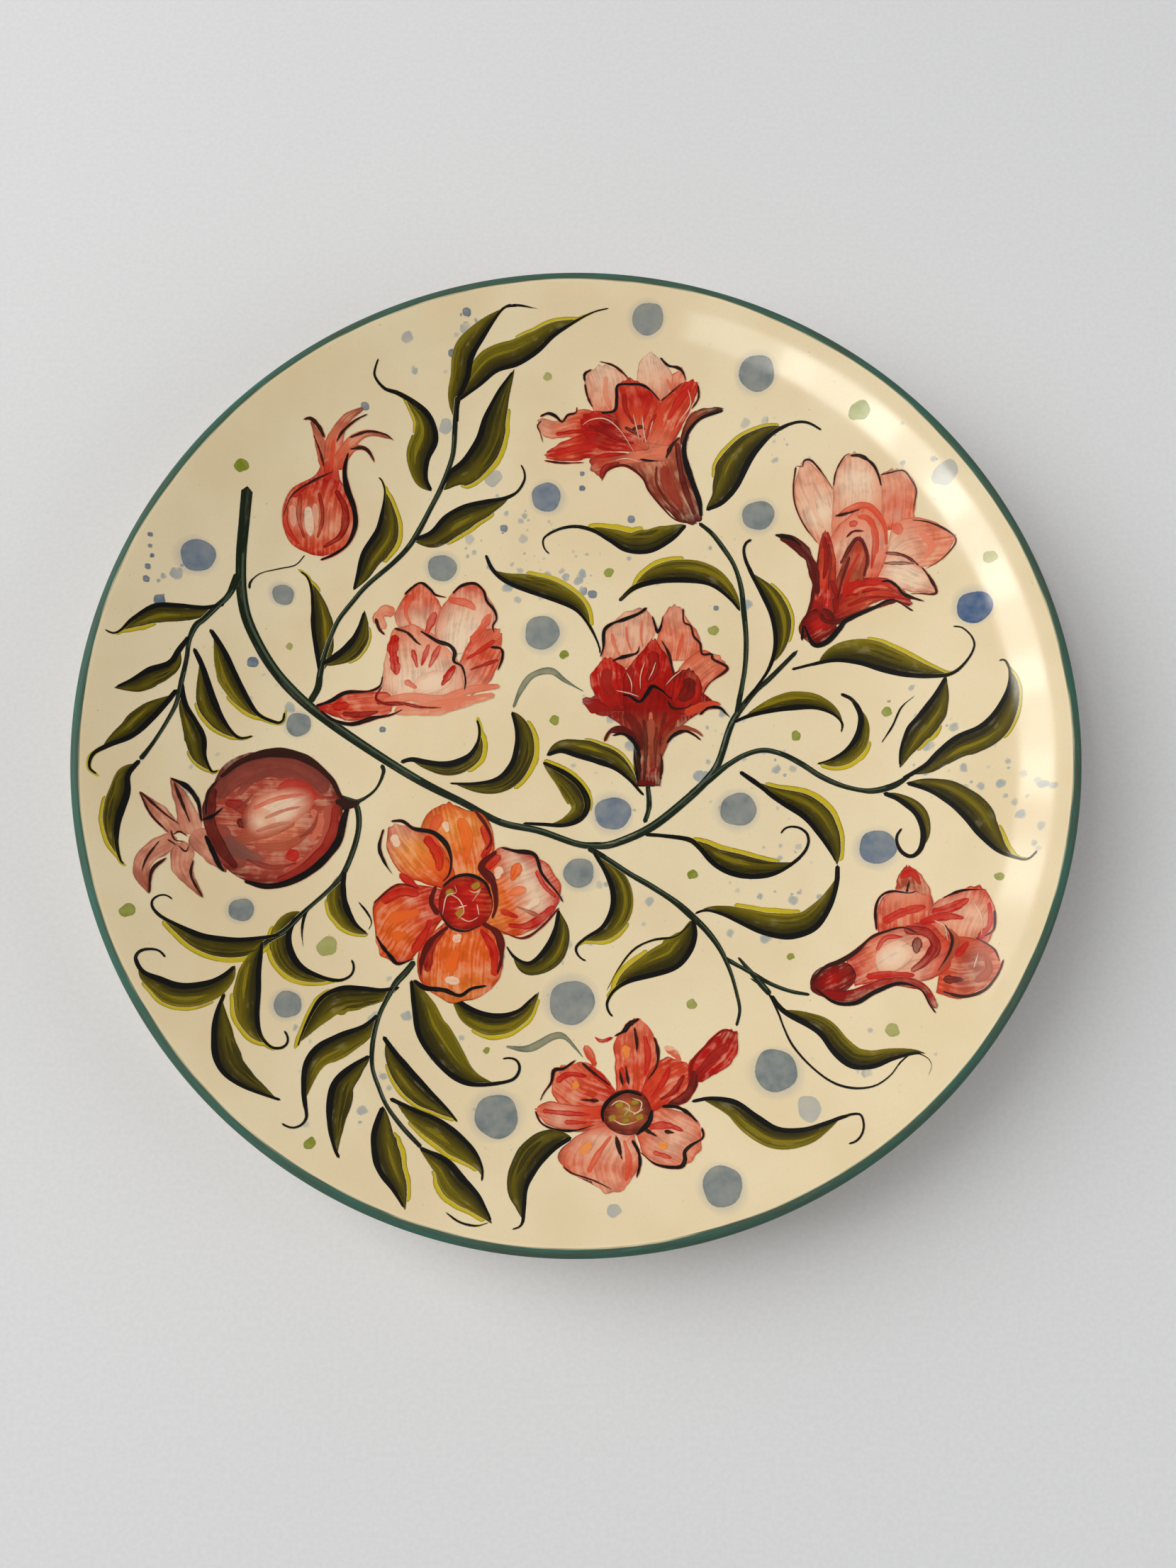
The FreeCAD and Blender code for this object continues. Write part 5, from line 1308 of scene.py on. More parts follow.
OUTLINES = (
    # width, tone, x, y...
    (1.0, INK, 6.5, 93.2, 10.4, 93.8, 11, 97, 11.3, 100.3, 15, 100.6, 18, 100.3, 20.5, 98.7, 23, 96),
    (0.9, INK, 4.2, 104.6, 2.2, 103.3, 2.3, 101), (0.8, BROWN, 2.2, 101, 3, 97.5, 4.5, 94.5),
    (0.9, INK, 22.8, 107.4, 25, 105.2, 27.5, 104.6, 29, 103.5, 30, 101.2),
    (0.7, BROWN, 6.2, 106.6, 10, 105.5, 13, 103.3, 15, 101),
    (0.9, INK, -10.2, 92.2, -8, 93.1, -6, 92.5, -4, 90.9, -2.5, 92.7, -0.2, 93.3, 0, 94.9),
    (0.5, INK, -9.6, 91.4, -10.8, 89.8, -10.1, 88, -9.4, 85.4), (0.6, BROWN, 23, 96, 25, 97.4, 29, 100.6),
    (0.6, BROWN, -9, 80.5, -4, 79.9, 2, 80), (0.7, INK, 17, 80.8, 20, 80.3, 23, 80.2),
    (1.5, INK, 34.2, 64.5, 33.6, 69, 31.5, 75, 29.7, 81, 29.7, 85, 31.2, 88.5, 34.5, 91.4, 40.2, 92.9),
    (0.7, MAROON, 6.8, 75, 8.4, 77.8, 12, 79.2, 15, 78.4, 18.4, 75.4, 20, 72, 24, 67, 27.5, 63.8, 33, 62.8),
    (0.7, BROWN, 33.2, 100, 33.4, 96.5, 31.5, 93.6), (1.1, BROWN, 24.5, 80.6, 26, 84, 28.4, 86.5),
    (1.0, INK, 74, 78.8, 77, 78.4, 80, 76, 81.5, 73, 82.3, 69.8),
    (0.6, BROWN, 59.9, 77.2, 61.5, 76.9, 62, 78.4, 64, 78.2, 67, 74.5, 69.8, 70),
    (0.6, BROWN, 59.8, 77, 59.2, 72, 59.6, 67, 61.8, 61.5, 65.4, 56.2),
    (0.6, BROWN, 69.8, 71, 70.5, 75, 72.5, 78.5, 74, 79.4),
    (0.6, BROWN, 82, 73, 85, 73.4, 88, 73.5, 90, 70.8, 91.2, 68, 90.6, 64, 90.3, 62.3),
    (0.6, BROWN, 90, 60.3, 94, 59.4, 98, 57.3, 101, 54.5, 100.3, 52, 97, 48.8, 93.5, 47),
    (0.8, BROWN, 92.4, 47.6, 94.7, 44, 96, 40.2, 92, 40.4, 89.5, 40.6),
    (1.0, INK, 82, 44.4, 84, 44.5, 86.2, 42.8, 88, 40.5, 93, 38.2),
    (1.3, INK, 61, 29.5, 61.6, 33.5, 64, 28.4, 67.5, 28.8, 71, 32.4, 73, 34.7, 80, 37.5, 85, 39.3, 90.2,
     35.8),
    (3.2, MAROON, 55.4, 58.4, 58.6, 57, 62.4, 53.4, 64.4, 48.5, 65.4, 42),
    (1.1, INK, 54, 59, 58.4, 57.8, 61.4, 55.4), (0.8, MAROON, 61.2, 34, 63.6, 39.5, 64.6, 46, 66, 54),
    (0.8, MAROON, 73, 57, 75, 58.6, 78, 58.4), (0.9, BROWN, 70, 63, 73.6, 63.6, 77, 64.4),
    (1.2, INK, 19.2, 39.2, 17, 37.5, 13, 35.8, 9.5, 34.5, 7.5, 32.5, 7.3, 28, 6.4, 25.2),
    (0.9, INK, 20.5, 36.9, 21.3, 34.3, 22, 32.2, 23, 34, 23.5, 36.8),
    (0.9, BROWN, 29, 39, 29.2, 35, 31, 34, 31.8, 31, 33.5, 29, 34, 26, 36.5, 26, 37, 24.5, 40.6, 22.5, 40,
     21, 36, 18, 33.5, 14),
    (1.0, INK, 9.5, 24, 12, 25, 15, 25.8, 16.5, 26.5, 17.1, 28.4),
    (1.1, INK, 12.2, 14.6, 14.4, 14.2, 17, 12.7, 19, 15, 20.5, 17, 23, 15.8, 24.5, 14.3, 26, 13.4),
    (0.8, BROWN, 23, 30, 25, 26, 26, 21, 26.5, 18), (0.8, BROWN, 24.5, 13, 26, 10.9, 29.5, 11, 31.4, 12.4),
    (1.0, INK, 33, 9, 35.5, 11, 38.5, 11, 40, 9.6, 41.2, 8.4), (1.8, BROWN, 16.6, -9, 16.2, -4, 16, 0.5),
    (0.8, INK, 16.4, -9.5, 15.7, -4, 15.4, 0), (2.2, MAROON, 17, -1, 15, 3, 12, 4.8, 9, 4.4, 7.4, 1.6),
    (1.2, INK, 17.2, -3, 15.5, 1.5, 12.5, 3.8, 9.6, 3.3),
    (1.8, RUST, 22.5, -2, 25, 3.2, 29, 5.2, 32, 4.6, 34, 3),
    (1.0, INK, 24, 1, 26, 3.4, 29, 4.6, 31.4, 3.6, 33.4, 2), (0.8, BROWN, 22.4, -9, 22.8, -4, 22.4, -1),
    (1.1, INK, -70, 11, -66, 12.6, -62, 15, -56, 15.5, -53, 17, -52.3, 20),
    (1.2, INK, -68.8, 10, -65, 7.3, -60, 6.4, -55, 8, -50, 9, -46.6, 10.6),
    (0.9, INK, -47, 42.5, -45, 44.5, -42.5, 46, -40, 44.3, -38.5, 42.7, -35.5, 42),
    (1.0, INK, -34, 43, -31.5, 45.3, -28, 46, -25.5, 44, -24.5, 41, -22.5, 38.5, -21.8, 36, -22.8, 34,
     -22.4, 32),
    (1.1, INK, -42.6, 32.6, -40, 31, -37.5, 29.5, -34.5, 28.5, -33, 26.5, -33.2, 24, -31, 22.5, -30, 19,
     -30.2, 15.8),
    (0.9, INK, -23.6, 28, -20.5, 27.5, -20.1, 25, -21.3, 21.4),
    (1.0, BROWN, -49.6, 33.2, -46, 32, -43.5, 29.5, -42, 28.4),
    (1.1, BROWN, -54.6, 36, -53.6, 33, -52, 31.2),
    (0.8, RED_DEEP, -52.4, 17, -54, 13.6, -51, 12, -46, 11.8),
    (0.8, INK, 77.4, -49.6, 77.5, -44, 79, -40.6, 82, -39.4, 86, -40, 88, -39.4),
    (0.7, BROWN, 85.4, -40, 86.3, -36.4), (0.7, INK, 94, -41.6, 99, -39.8, 104.6, -39.8),
    (0.9, BROWN, 92, -65.6, 97, -67, 102, -65.5, 105.5, -61.5, 107.2, -57.8),
    (0.6, BROWN, 101, -52, 105, -55, 106.3, -58.5),
    (0.8, BROWN, 94, -48.4, 95.6, -52, 94.5, -56, 91.4, -60.6),
    (0.7, BROWN, 106.2, -45, 105.6, -50, 103, -52),
    (1.1, INK, 61, -64.2, 66, -68, 71, -68.2, 76, -65.5, 82, -63.4, 87, -65, 89, -69, 90.2, -71.2),
    (1.1, BROWN, 60.6, -62.6, 64, -59, 68, -57.4, 72, -55, 76, -51.4, 80, -49.8, 84, -49, 87.4, -50.6),
    (1.3, INK, -49.2, -20, -46, -20, -43, -22, -38, -23, -34.5, -26, -33, -30, -33.4, -34, -35.2, -36.2),
    (1.0, INK, -51, -22, -52, -27, -50.5, -31, -48.4, -34.2),
    (1.0, MAROON, -27, -17, -24, -21, -22.5, -25, -24, -28),
    (1.1, INK, -20, -27, -16, -28, -11, -29, -9, -34, -5, -39, -3.4, -41.6),
    (2.0, MAROON, -21, -28, -25, -32, -22, -36, -21, -42, -22, -46),
    (1.1, INK, -52, -50.4, -50.5, -53, -48, -56, -46, -57.8, -42, -56.4),
    (1.4, INK, -42, -62, -39, -64, -34, -64.6, -30, -66, -27, -64.2, -23, -63.4),
    (1.8, MAROON, -24.6, -47, -20.4, -50, -19.4, -56, -20.5, -60.4),
    (1.6, MAROON, -33.4, -48, -38, -52, -40, -57, -40.2, -61),
    (1.6, MAROON, -36, -45, -38, -41.4, -36.8, -37), (0.7, MAROON, -4.5, -43, -9, -48, -14, -51, -20, -49),
    (0.7, MAROON, -53, -42, -47, -37, -41, -38),
    (1.3, INK, 16.4, -71.8, 13.6, -73.4, 12.4, -75, 9.8, -76.4),
    (0.9, BROWN, 20, -76.5, 20.9, -80, 20.5, -84, 18, -87.6), (1.0, BROWN, 15, -74, 15.6, -78, 15.5, -80.6),
    (0.9, INK, 0, -82.4, -3, -84.5, -5.5, -85, -6.2, -88, -8, -90.5, -9, -92.6),
    (0.9, BROWN, 1.4, -83, 5, -86, 9, -89),
    (0.7, INK, -10.2, -95, -8.6, -98, -5, -99.6, 0, -99.8, 5, -98.4),
    (1.0, INK, 14, -102, 15.6, -105, 15.9, -108, 15, -111.2),
    (0.6, BROWN, -3.2, -108.4, -1, -110, 2, -111, 5, -112, 9.2, -114),
    (1.0, INK, 31.4, -99, 31.6, -101.5, 28.5, -103.5, 27, -105, 27, -107, 25.5, -108.6, 20, -108, 16, -105),
    (1.1, INK, 21.4, -94, 25, -94, 28, -95.5, 30.6, -98), (0.8, BROWN, 12, -89, 11, -84.6),
    (0.8, BROWN, 13.4, -88.6, 12.6, -83.6), (0.9, BROWN, 6, -92.6, 1, -92.3),
    (1.2, BROWN, 10, -101, 11, -105, 11.6, -107), (1.0, BROWN, 17, -99.4, 20.5, -101.4),
    (1.0, BROWN, 22, -100, 24.6, -100.4),
    (0.9, RED_DEEP, 29, -87, 29.6, -83, 33, -79, 37.5, -75, 41.4, -75.8))

HAIRLINES = (
    (1.5, 90, 4, 91.5, 8, 91.6, 12, 88.5, 16, 82.4), (15.5, 93, 16.5, 89, 17.5, 85),
    (18, 92.5, 18.5, 88, 19.3, 84.5), (21, 91, 20, 87.6), (30.5, 99, 31.3, 95, 29, 91.5, 27, 88.5),
    (10.5, 80.5, 14, 81, 18, 79.8), (18.5, 24, 17.3, 20, 17.2, 16), (21.5, 24, 20.5, 21, 19.2, 18.4),
    (28.5, 21.5, 26, 19.5, 23.8, 17), (13.5, 21, 14.8, 18, 14.8, 15), (10.5, 15.8, 14, 15.1, 17, 14),
    (91.4, -47.2, 94, -49, 94.5, -53), (101.4, -43, 103, -47, 102.5, -52), (100, -60, 101.5, -56),
    (-35, -45, -34, -40, -31.5, -39, -32, -37), (-33, -39.4, -30.6, -41, -29.4, -44, -31, -46),
    (-28.4, -38.4, -26.4, -39, -25, -38, -27.4, -41.6), (-30.4, -45.6, -28, -46.6, -25.4, -45.4),
    (-26, -42, -25.4, -45), (-31, -43, -28.6, -42.4), (8.6, -94, 11, -92.6, 13.6, -94, 12, -96.4),
    (14, -91.8, 16.6, -93, 15.4, -95.6, 12.4, -94.4), (9, -97, 12, -98.4, 15.6, -97.6),
    (14.4, -96, 17, -94.6))


def spread(numbers, columns=2):
    """A flat run of numbers as rows of x and y, or of x, y and width."""
    return np.reshape(numbers, (-1, columns)).astype(float)


def draw_petal(layers, left, right, tones, edge_tone, order):
    """A petal between its two edges, its tones blended from root to tip, darker at both sides."""
    one = smooth_path(spread(left), 30)
    other = smooth_path(spread(right), 30)
    along = np.linspace(0, 1, 30)
    one = one + leftward(one) * waver(along, 0.16, 6)[:, None]
    other = other + leftward(other) * waver(along, 0.16, 6)[:, None]
    columns = 19
    across = np.linspace(-1, 1, columns)
    reach = (1 - across ** 2)[None, :, None]
    axis = ((one[-1] - one[0]) + (other[-1] - other[0])) / 2
    axis /= np.hypot(*axis)
    swell = reach * (along ** 3)[:, None, None] * np.hypot(*(one[-1] - other[-1])) * 0.22
    ruffle = 0.35 * np.sin(across * 7.0 + hand.uniform(0, 6)) * reach[0, :, 0]
    share = ((across + 1) / 2)[None, :, None]
    points = one[:, None] * (1 - share) + other[:, None] * share
    points = points + (swell + ruffle[None, :, None] * (along ** 4)[:, None, None]) * axis
    tone = blended(tones, along)[:, None, :]
    side = (np.abs(across) ** 3)[None, :, None] * 0.7
    tip = (along ** 6)[:, None, None] * 0.45
    weight = np.clip(side + tip, 0, 0.8)
    tone = tone * (1 - weight) + np.array(edge_tone[:3]) * weight
    layers["petal_washes"].lay(points[..., 0], points[..., 1], tone, 0.95, 0.004 * order)


def draw_blossoms(layers):
    """All petals from the furthest to the nearest, then red strokes, outlines and pale hairlines."""
    for first, after in zip(BLOSSOMS, (*BLOSSOMS[1:], len(PETALS))):
        for order, (left, right, tones, edge_tone) in enumerate(PETALS[first:after]):
            draw_petal(layers, left, right, tones, edge_tone, order)
    washes, strokes, lines = layers["petal_washes"], layers["petal_strokes"], layers["petal_lines"]
    strokes.dab((65.4, 33.2), (5.2, 5.0), (RED, RED_DEEP, MAROON), 30, 1.0)
    strokes.dab((65.8, -62.2), (6.2, 4.2), (RED, RED_DEEP, MAROON), 28, 1.0)
    strokes.dab((81.2, -56.4), (5.2, 3.8), (PALE, PALE, PINK), 30, 0.9)
    strokes.dab((-39, 18), (5.4, 3.2), (PALE, PALE, PINK), 20, 0.8)
    washes.dab((-29, -41.8), (7.2, 7.4), (RED, RED, RED_DEEP), 0, 1.0, 0.03, 21, 0.046)
    washes.dab((13, -95.4), (6.2, 5.8), (GOLD, RUST, MAROON), 0, 1.0, 0.03, 21, 0.046)
    for x, y in ((-33.2, -39), (-26.4, -37.2), (-30.4, -44.4)):
        strokes.dab((x, y), (1.3, 1.0), GOLD, 30, 0.9, lift=0.012)
    for x, y in ((11, -93.6), (15, -93), (12.6, -97.4), (16, -96.6), (9.2, -96.8)):
        strokes.dab((x, y), (1.2, 0.9), GOLD, 20, 1.0, lift=0.012)
    for width, cover, tone, *numbers in RED_STROKES:
        strokes.stroke(spread(numbers), tone, width, cover, (0.75, 0.5), 0.12, columns=7)
    for width, tone, *numbers in OUTLINES:
        lines.stroke(spread(numbers), tone, width * 1.05, 1.0, (0.6, 0.35), 0.16)
    rings = ((1.1, INK, -35.2, -37.6, -32, -35, -28, -34.4, -24, -36.4, -22.2, -40.4),
             (0.9, BROWN, -35.6, -44.4, -33, -48, -29, -49.2, -25, -47.6),
             (1.2, INK, 7, -98, 6.8, -95, 9, -92, 13, -90.3, 17, -91.4),
             (1.5, INK, 19.2, -94.6, 18.2, -98, 15, -101))
    for width, tone, *numbers in rings:
        lines.stroke(spread(numbers), tone, width, ends=(0.5, 0.5))
    for numbers in HAIRLINES:
        layers["pale_hairlines"].stroke(spread(numbers), PALE, 0.38, 0.9, (0.6, 0.5), columns=4)


def draw_fruit(layers):
    """The large pomegranate with its open calyx, and the small one with its crown."""
    wash, strokes, lines = layers["fruit_washes"], layers["fruit_strokes"], layers["petal_lines"]
    plum = shade(112, 46, 38)
    brick = shade(186, 76, 56)
    garnet = shade(124, 30, 20)
    slate = shade(96, 78, 72)
    sepals = ((-103, -25, 4.2, -108, -19, 3.6, -112.6, -14.3, 0.4),
              (-99, -25, 6, -102, -17, 4.6, -105.4, -10.4, 0.8),
              (-103, -26, 4.5, -109.5, -31, 5.4, -110.6, -36, 3.6, -108.4, -41, 0.5),
              (-101, -27, 5, -101, -34, 5.2, -95.6, -41.6, 0.6),
              (-99, -24, 7, -94.6, -29, 6, -90.4, -34.8, 0.8))
    for numbers in sepals:
        wash.stroke(spread(numbers, 3), (BLUSH, BLUSH, RUST), cover=0.95, columns=9)
    wash.dab((-79.3, -20), (17.4, 18.0), (PINK, ROSE, brick, brick, garnet), 0, 0.95, 0.015, 41, 0.008)
    large = ((7.5, 0.6, plum, -94, -15, -90, -8.6, -82, -5.6, -73, -6.6, -65.8, -12),
             (5.5, 0.5, plum, -93, -22, -91, -28, -86, -33),
             (2.4, 0.35, plum, -89, -14, -84, -8.6, -76, -7.4, -68, -12),
             (4.2, 0.55, RED, -79, -12, -73, -11, -68.6, -14.4), (3.6, 0.8, RED, -72.6, -28.8, -76, -30.4),
             (5.0, 0.5, brick, -65.6, -16, -64.4, -22, -68, -30, -76, -35),
             (4.2, 0.5, slate, -91, -25, -87.4, -29, -81.6, -31.2),
             (3.6, 0.8, MAROON, -95, -12, -95.6, -20, -93, -27, -88, -33.6),
             (2.8, 0.6, RUST, -89, -26, -81, -24, -74, -20.8),
             (2.6, 0.85, MAROON, -88.6, -20.4, -86, -22.6),
             (3.2, 0.7, RED_DEEP, -92, -16, -88, -17, -85, -20),
             (2.6, 0.55, RUST, -84, -27.4, -76, -27, -70, -23),
             (3.4, 0.7, RED_DEEP, -63.8, -16, -64.6, -25, -70, -32, -78, -36.4),
             (2.4, 0.5, ROSE, -70, -17, -67.6, -21, -70, -26))
    for width, cover, tone, *numbers in large:
        strokes.stroke(spread(numbers), tone, width, cover, (0.6, 0.5), 0.1, columns=7)
    strokes.dab((-78.4, -17.2), (9.4, 5.4), (PALE, PALE, PINK), 24, (0.9, 0.7, 0.0), 0.08, lift=0.01)
    strokes.dab((-83, -21), (4.0, 4.4), (PALE, PINK, ROSE), 24, (0.8, 0.5, 0.0), 0.08, lift=0.012)
    over = ((1.5, 0.5, CORAL, -85, -17.5, -79, -14.5, -72, -13),
            (1.2, 0.5, brick, -82, -20, -77, -17.6, -72.6, -16.4),
            (1.4, 0.45, brick, -84, -23.6, -79, -21.6, -75, -20.6),
            (1.0, 0.5, plum, -90, -18, -87, -16, -84.6, -12.6),
            (1.2, 0.5, garnet, -73, -25, -69.4, -22, -68, -17),
            (1.6, 0.5, garnet, -86, -31, -79, -33, -73, -31.6))
    for width, cover, tone, *numbers in over:
        strokes.stroke(spread(numbers), tone, width, cover, (0.6, 0.4), 0.1, columns=7, lift=0.016)
    edges = ((2.4, BROWN, -93.6, -9.6, -88, -4.6, -80, -2.0, -72, -3.4, -65.4, -8.6, -62.6, -13.4, -59.6,
              -15.2),
             (2.3, INK, -60.4, -15.6, -61.6, -20, -63, -26, -68, -32.4, -74, -36.4, -80, -38, -86, -36.8),
             (2.4, BROWN, -64, -14.6, -60.6, -15.6, -57.4, -15),
             (1.0, BROWN, -96.4, -20, -96.2, -14, -93.6, -9.6),
             (1.4, INK, -105.6, -10.3, -101.4, -12.4, -98.6, -16, -97.6, -20, -97.2, -21.6),
             (1.0, INK, -97.4, -21.2, -94.6, -19.8, -92.2, -17.4),
             (1.6, INK, -96.2, -25, -94.2, -29, -92.2, -33, -90.8, -34.6),
             (1.0, BROWN, -104.6, -11.4, -102.6, -16, -100, -22),
             (0.8, BROWN, -112.6, -14.4, -109.4, -20.4, -104.8, -25),
             (0.8, BROWN, -112.4, -14.4, -106.6, -19.6, -102.4, -22.6),
             (0.9, BROWN, -98.6, -31.6, -98.8, -36, -95.6, -41.6),
             (0.8, BROWN, -107, -27, -109.6, -31.6, -110.6, -35.6),
             (1.1, BROWN, -105, -31.4, -108.2, -35, -108.4, -41),
             (0.6, BROWN, -104.6, -24, -103.4, -26.6, -101, -27),
             (0.6, BROWN, -104, -25.4, -102.4, -24.4, -100.4, -25.6),
             (0.6, BROWN, -102.6, -28, -100.6, -29.6, -99.8, -27.6), (0.6, BROWN, -105.2, -26.6, -103, -28))
    for width, tone, *numbers in edges:
        lines.stroke(spread(numbers), tone, width, 1.0, (0.45, 0.4), 0.12)
    crown = ((-67.6, 75, 4.0, -69.4, 82, 3.2, -72, 88.2, 0.8),
             (-66.6, 75, 5.0, -65.8, 83, 4.6, -63, 89, 3.0, -58, 92.6, 0.8),
             (-66.4, 76, 3.6, -62, 82.6, 3.0, -57, 86, 2.0, -50.6, 84.8, 0.4),
             (-65.6, 76, 3.0, -61, 81.6, 1.8, -57.4, 81.6, 1.2, -55.4, 78.6, 0.5))
    for numbers in crown:
        wash.stroke(spread(numbers, 3), (CORAL, ROSE, RUST), cover=0.95, columns=9)
    one = smooth_path(spread((-71.6, 52.4, -77.6, 55.4, -79.8, 62.6, -77.4, 69.6, -71, 74, -68.8, 79)), 40)
    other = smooth_path(spread((-69, 52.2, -62.8, 55, -60.6, 62, -62, 69.4, -64.6, 74, -64.6, 79)), 40)
    wash.ruled(one, other, blended((RED, CORAL, ROSE, CORAL, RED, ROSE), np.linspace(0, 1, 40))[:, None, :],
               0.95, 15, 0.006)
    small = ((2.2, 0.8, RED_DEEP, -65.6, 70.6, -63, 65, -64, 58.6, -69, 54.6),
             (1.8, 0.7, RED, -78.6, 66, -78.4, 59.6, -75, 55), (1.6, 0.7, RED, -77, 67.6, -73, 70.8),
             (2.2, 0.6, PINK, -77, 65.6, -76.6, 59.6), (1.4, 0.7, RED_DEEP, -70, 69.6, -69, 63, -70.4, 57),
             (1.8, 0.7, PINK, -71, 66.6, -70.6, 60), (2.6, 0.7, RED, -67.6, 78, -67.4, 72.6),
             (1.6, 0.6, RED_DEEP, -74.8, 69, -75.2, 62, -73.6, 56.6),
             (1.4, 0.7, CORAL, -66, 84, -66.6, 79, -67, 75))
    for width, cover, tone, *numbers in small:
        strokes.stroke(spread(numbers), tone, width, cover, (0.7, 0.5), 0.1, columns=7)
    strokes.dab((-72.6, 61.6), (1.3, 4.2), (PALE, PALE, PALE), 4, 0.9, 0.05, lift=0.012)
    edges = ((1.6, INK, -62.2, 80.6, -63.2, 76, -62.6, 71, -60.8, 66, -60.4, 61, -62.4, 56, -66, 53, -69.6,
              51.2),
             (0.7, BROWN, -66, 75.4, -72, 72, -77, 68, -79.4, 62),
             (1.3, BROWN, -68.4, 83.8, -70, 86.8, -72, 88.6, -74, 88.2),
             (0.9, BROWN, -65.4, 83, -63.6, 86, -60.4, 89, -57, 91),
             (0.9, BROWN, -62, 84.4, -57, 86.4, -52.6, 86, -50.2, 84.6),
             (1.1, BROWN, -62, 81.4, -58, 82, -55.8, 79.8, -55.4, 78.4),
             (0.8, MAROON, -68.6, 76, -69.6, 80, -71.4, 84.6))
    for width, tone, *numbers in edges:
        lines.stroke(spread(numbers), tone, width, 1.0, (0.5, 0.35), 0.12)


def paint_the_plate():
    """Lays every mark down and turns each layer into one piece."""
    layers = prepared_layers()
    draw_dots(layers)
    draw_branches(layers)
    draw_fruit(layers)
    draw_blossoms(layers)
    for layer in layers.values():
        layer.piece()


# ---------------------------------------------------------------- floor, light and camera

def floor_finish():
    """Plain pale paper with a barely seen tooth."""
    finish = Finish("pale_paper")
    place = finish.place()
    tooth = finish.noise(place, 0.8, 4.0, 0.6)
    colour = finish.mixed(tooth.rise(0.3, 0.7), shade(226, 227, 230), shade(231, 232, 235))
    finish.bumped(tooth, 0.00004)
    return finish.surfaced(colour, {"Roughness": 0.9, "Specular IOR Level": 0.15})


def lay_the_floor():
    """A square of paper under the plate."""
    reach = 2200.0
    points = np.array([(-reach, -reach, 0), (reach, -reach, 0), (reach, reach, 0), (-reach, reach, 0)])
    floor = bpy.data.objects.new("paper", mesh_of("paper", points, np.arange(4), np.array([4])))
    floor.data.materials.append(floor_finish())
    bpy.context.scene.collection.objects.link(floor)


CAMERA_AIM = np.array([3.1, -11.0, 15.0])
CAMERA_RISE = math.radians(78.42)
CAMERA_DISTANCE = 409.75
CAMERA_BACK = np.array([0.0, -math.cos(CAMERA_RISE), math.sin(CAMERA_RISE)])
CAMERA_PLACE = CAMERA_AIM + CAMERA_BACK * CAMERA_DISTANCE
LENS = 35.8


def softbox(name, towards, distance, size, power, colour, along=(0.0, 1.0, 0.0)):
    """A rectangular light that hangs in a direction from the plate and faces it.

    Its width lies as nearly as it can along the vector along.
    """
    back = Vector(towards).normalized()
    side = (Vector(along) - back * back.dot(Vector(along))).normalized()
    light = bpy.data.lights.new(name, "AREA")
    light.shape = "RECTANGLE"
    light.size, light.size_y = size
    light.energy = power
    light.color = colour
    lamp = bpy.data.objects.new(name, light)
    turned_to = Matrix((side, back.cross(side), back)).transposed().to_4x4()
    lamp.matrix_world = Matrix.Translation(back * distance) @ turned_to
    bpy.context.scene.collection.objects.link(lamp)


def mirrored(angle, radius):
    """The direction that the camera sees mirrored in the glaze at this place on the plate.

    With n square to the glaze and v towards the camera, it is 2 (n . v) n - v.
    """
    x, y = radius * math.cos(angle), radius * math.sin(angle)
    normal = face_normal(np.array(x), np.array(y))
    view = CAMERA_PLACE - np.array([x, y, float(face_height(x, y))])
    view /= np.linalg.norm(view)
    return 2 * normal.dot(view) * normal - view


def hang_the_panes():
    """Small panes in a row, whose reflections follow the lip on the right, with thin ones beyond them."""
    strengths = {66: 0.5, 53: 1.0, 40: 1.0, 27: 1.0, 14: 1.0, 1: 0.85, -12: 0.6, -24: 0.35}
    for degrees, strength in strengths.items():
        angle = math.radians(degrees)
        along = mirrored(angle + 0.05, PANE_RADIUS) - mirrored(angle - 0.05, PANE_RADIUS)
        softbox(f"pane_{degrees}", mirrored(angle, PANE_RADIUS), 1.5, (0.17, 0.19), 0.58 * strength,
                PANE_COLOUR, along)
        softbox(f"thin_pane_{degrees}", mirrored(angle, PANE_RADIUS + 7.5), 1.5, (0.15, 0.015),
                0.06 * strength, PANE_COLOUR, along)


PANE_RADIUS = 113.5
PANE_COLOUR = (1.0, 0.98, 0.90)


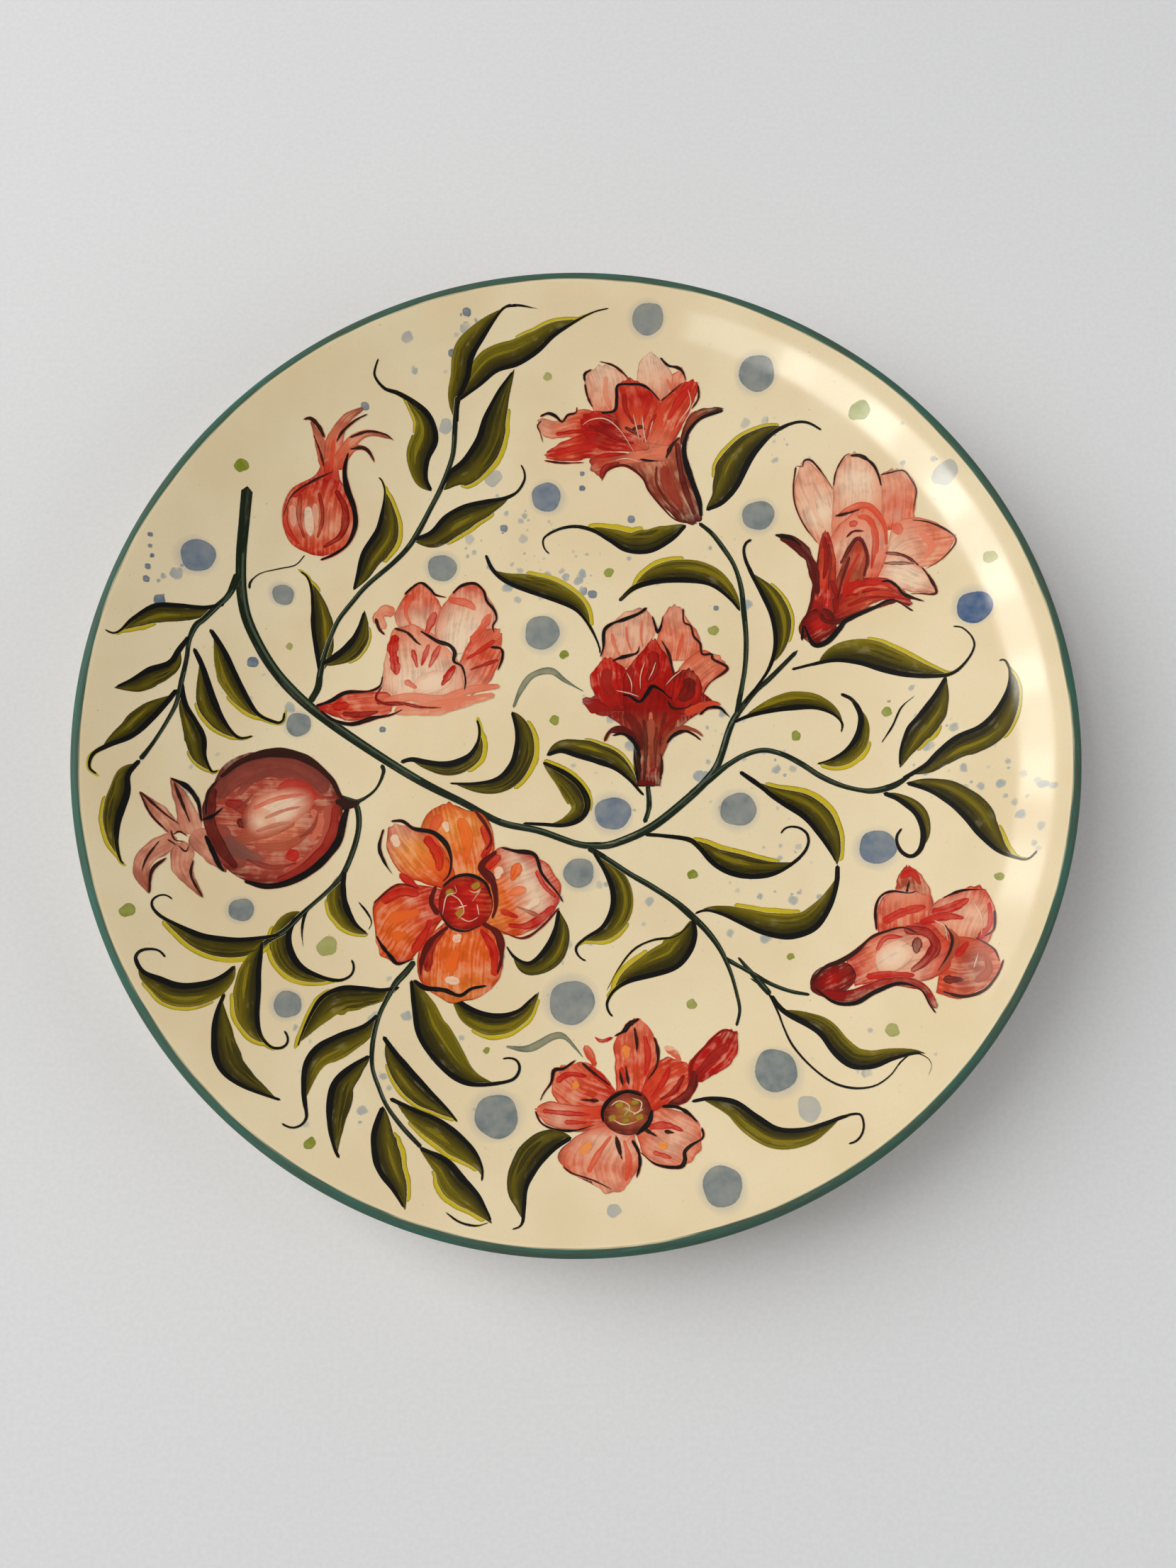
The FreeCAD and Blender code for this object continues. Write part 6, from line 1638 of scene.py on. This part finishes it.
def light_the_scene():
    """A window-like softbox on the left, the panes that the glaze mirrors, a fill and a room.

    The room is bright near the horizon and dark overhead, so the glaze mirrors little of it.
    """
    softbox("daylight", (-0.80, 0.22, 0.62), 2.4, (1.95, 1.95), 47.5, (1.0, 0.975, 0.93))
    softbox("fill", (0.85, -0.20, 0.50), 0.95, (0.6, 0.6), 2.0, (1.0, 0.97, 0.93))
    hang_the_panes()
    world = bpy.data.worlds.new("soft_room")
    world.use_nodes = True
    tree = world.node_tree
    room = tree.nodes["Background"]
    room.inputs["Color"].default_value = (0.90, 0.94, 1.0, 1)
    towards = tree.nodes.new("ShaderNodeTexCoord")
    upward = tree.nodes.new("ShaderNodeSeparateXYZ")
    tree.links.new(towards.outputs["Generated"], upward.inputs[0])
    strength = 0.36 - Value(upward.outputs["Z"]).rise(0.45, 0.95) * 0.30
    tree.links.new(strength.socket, room.inputs["Strength"])
    bpy.context.scene.world = world
    bpy.context.scene.view_settings.view_transform = "Standard"


def aim_the_camera():
    """The camera, almost straight above the plate and leaning a little to its lower edge."""
    camera = bpy.data.objects.new("camera", bpy.data.cameras.new("camera"))
    camera.data.lens = LENS
    camera.data.sensor_width = 36.0
    camera.data.clip_start = 0.01
    camera.location = CAMERA_PLACE * MM
    camera.rotation_euler = (math.pi / 2 - CAMERA_RISE, 0.0, 0.0)
    bpy.context.scene.collection.objects.link(camera)
    bpy.context.scene.camera = camera


def measure():
    """The lowest and highest corner of what is shown, worked out and not returned."""
    shown = [piece for piece in bpy.context.scene.objects
             if piece.type == "MESH" and "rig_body" in piece and "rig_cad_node" not in piece]
    low = np.full(3, np.inf)
    high = np.full(3, -np.inf)
    for piece in shown:
        points = np.empty(len(piece.data.vertices) * 3)
        piece.data.vertices.foreach_get("co", points)
        low = np.minimum(low, points.reshape(-1, 3).min(0))
        high = np.maximum(high, points.reshape(-1, 3).max(0))


turn_the_body()
paint_the_plate()
lay_the_floor()
light_the_scene()
aim_the_camera()
measure()
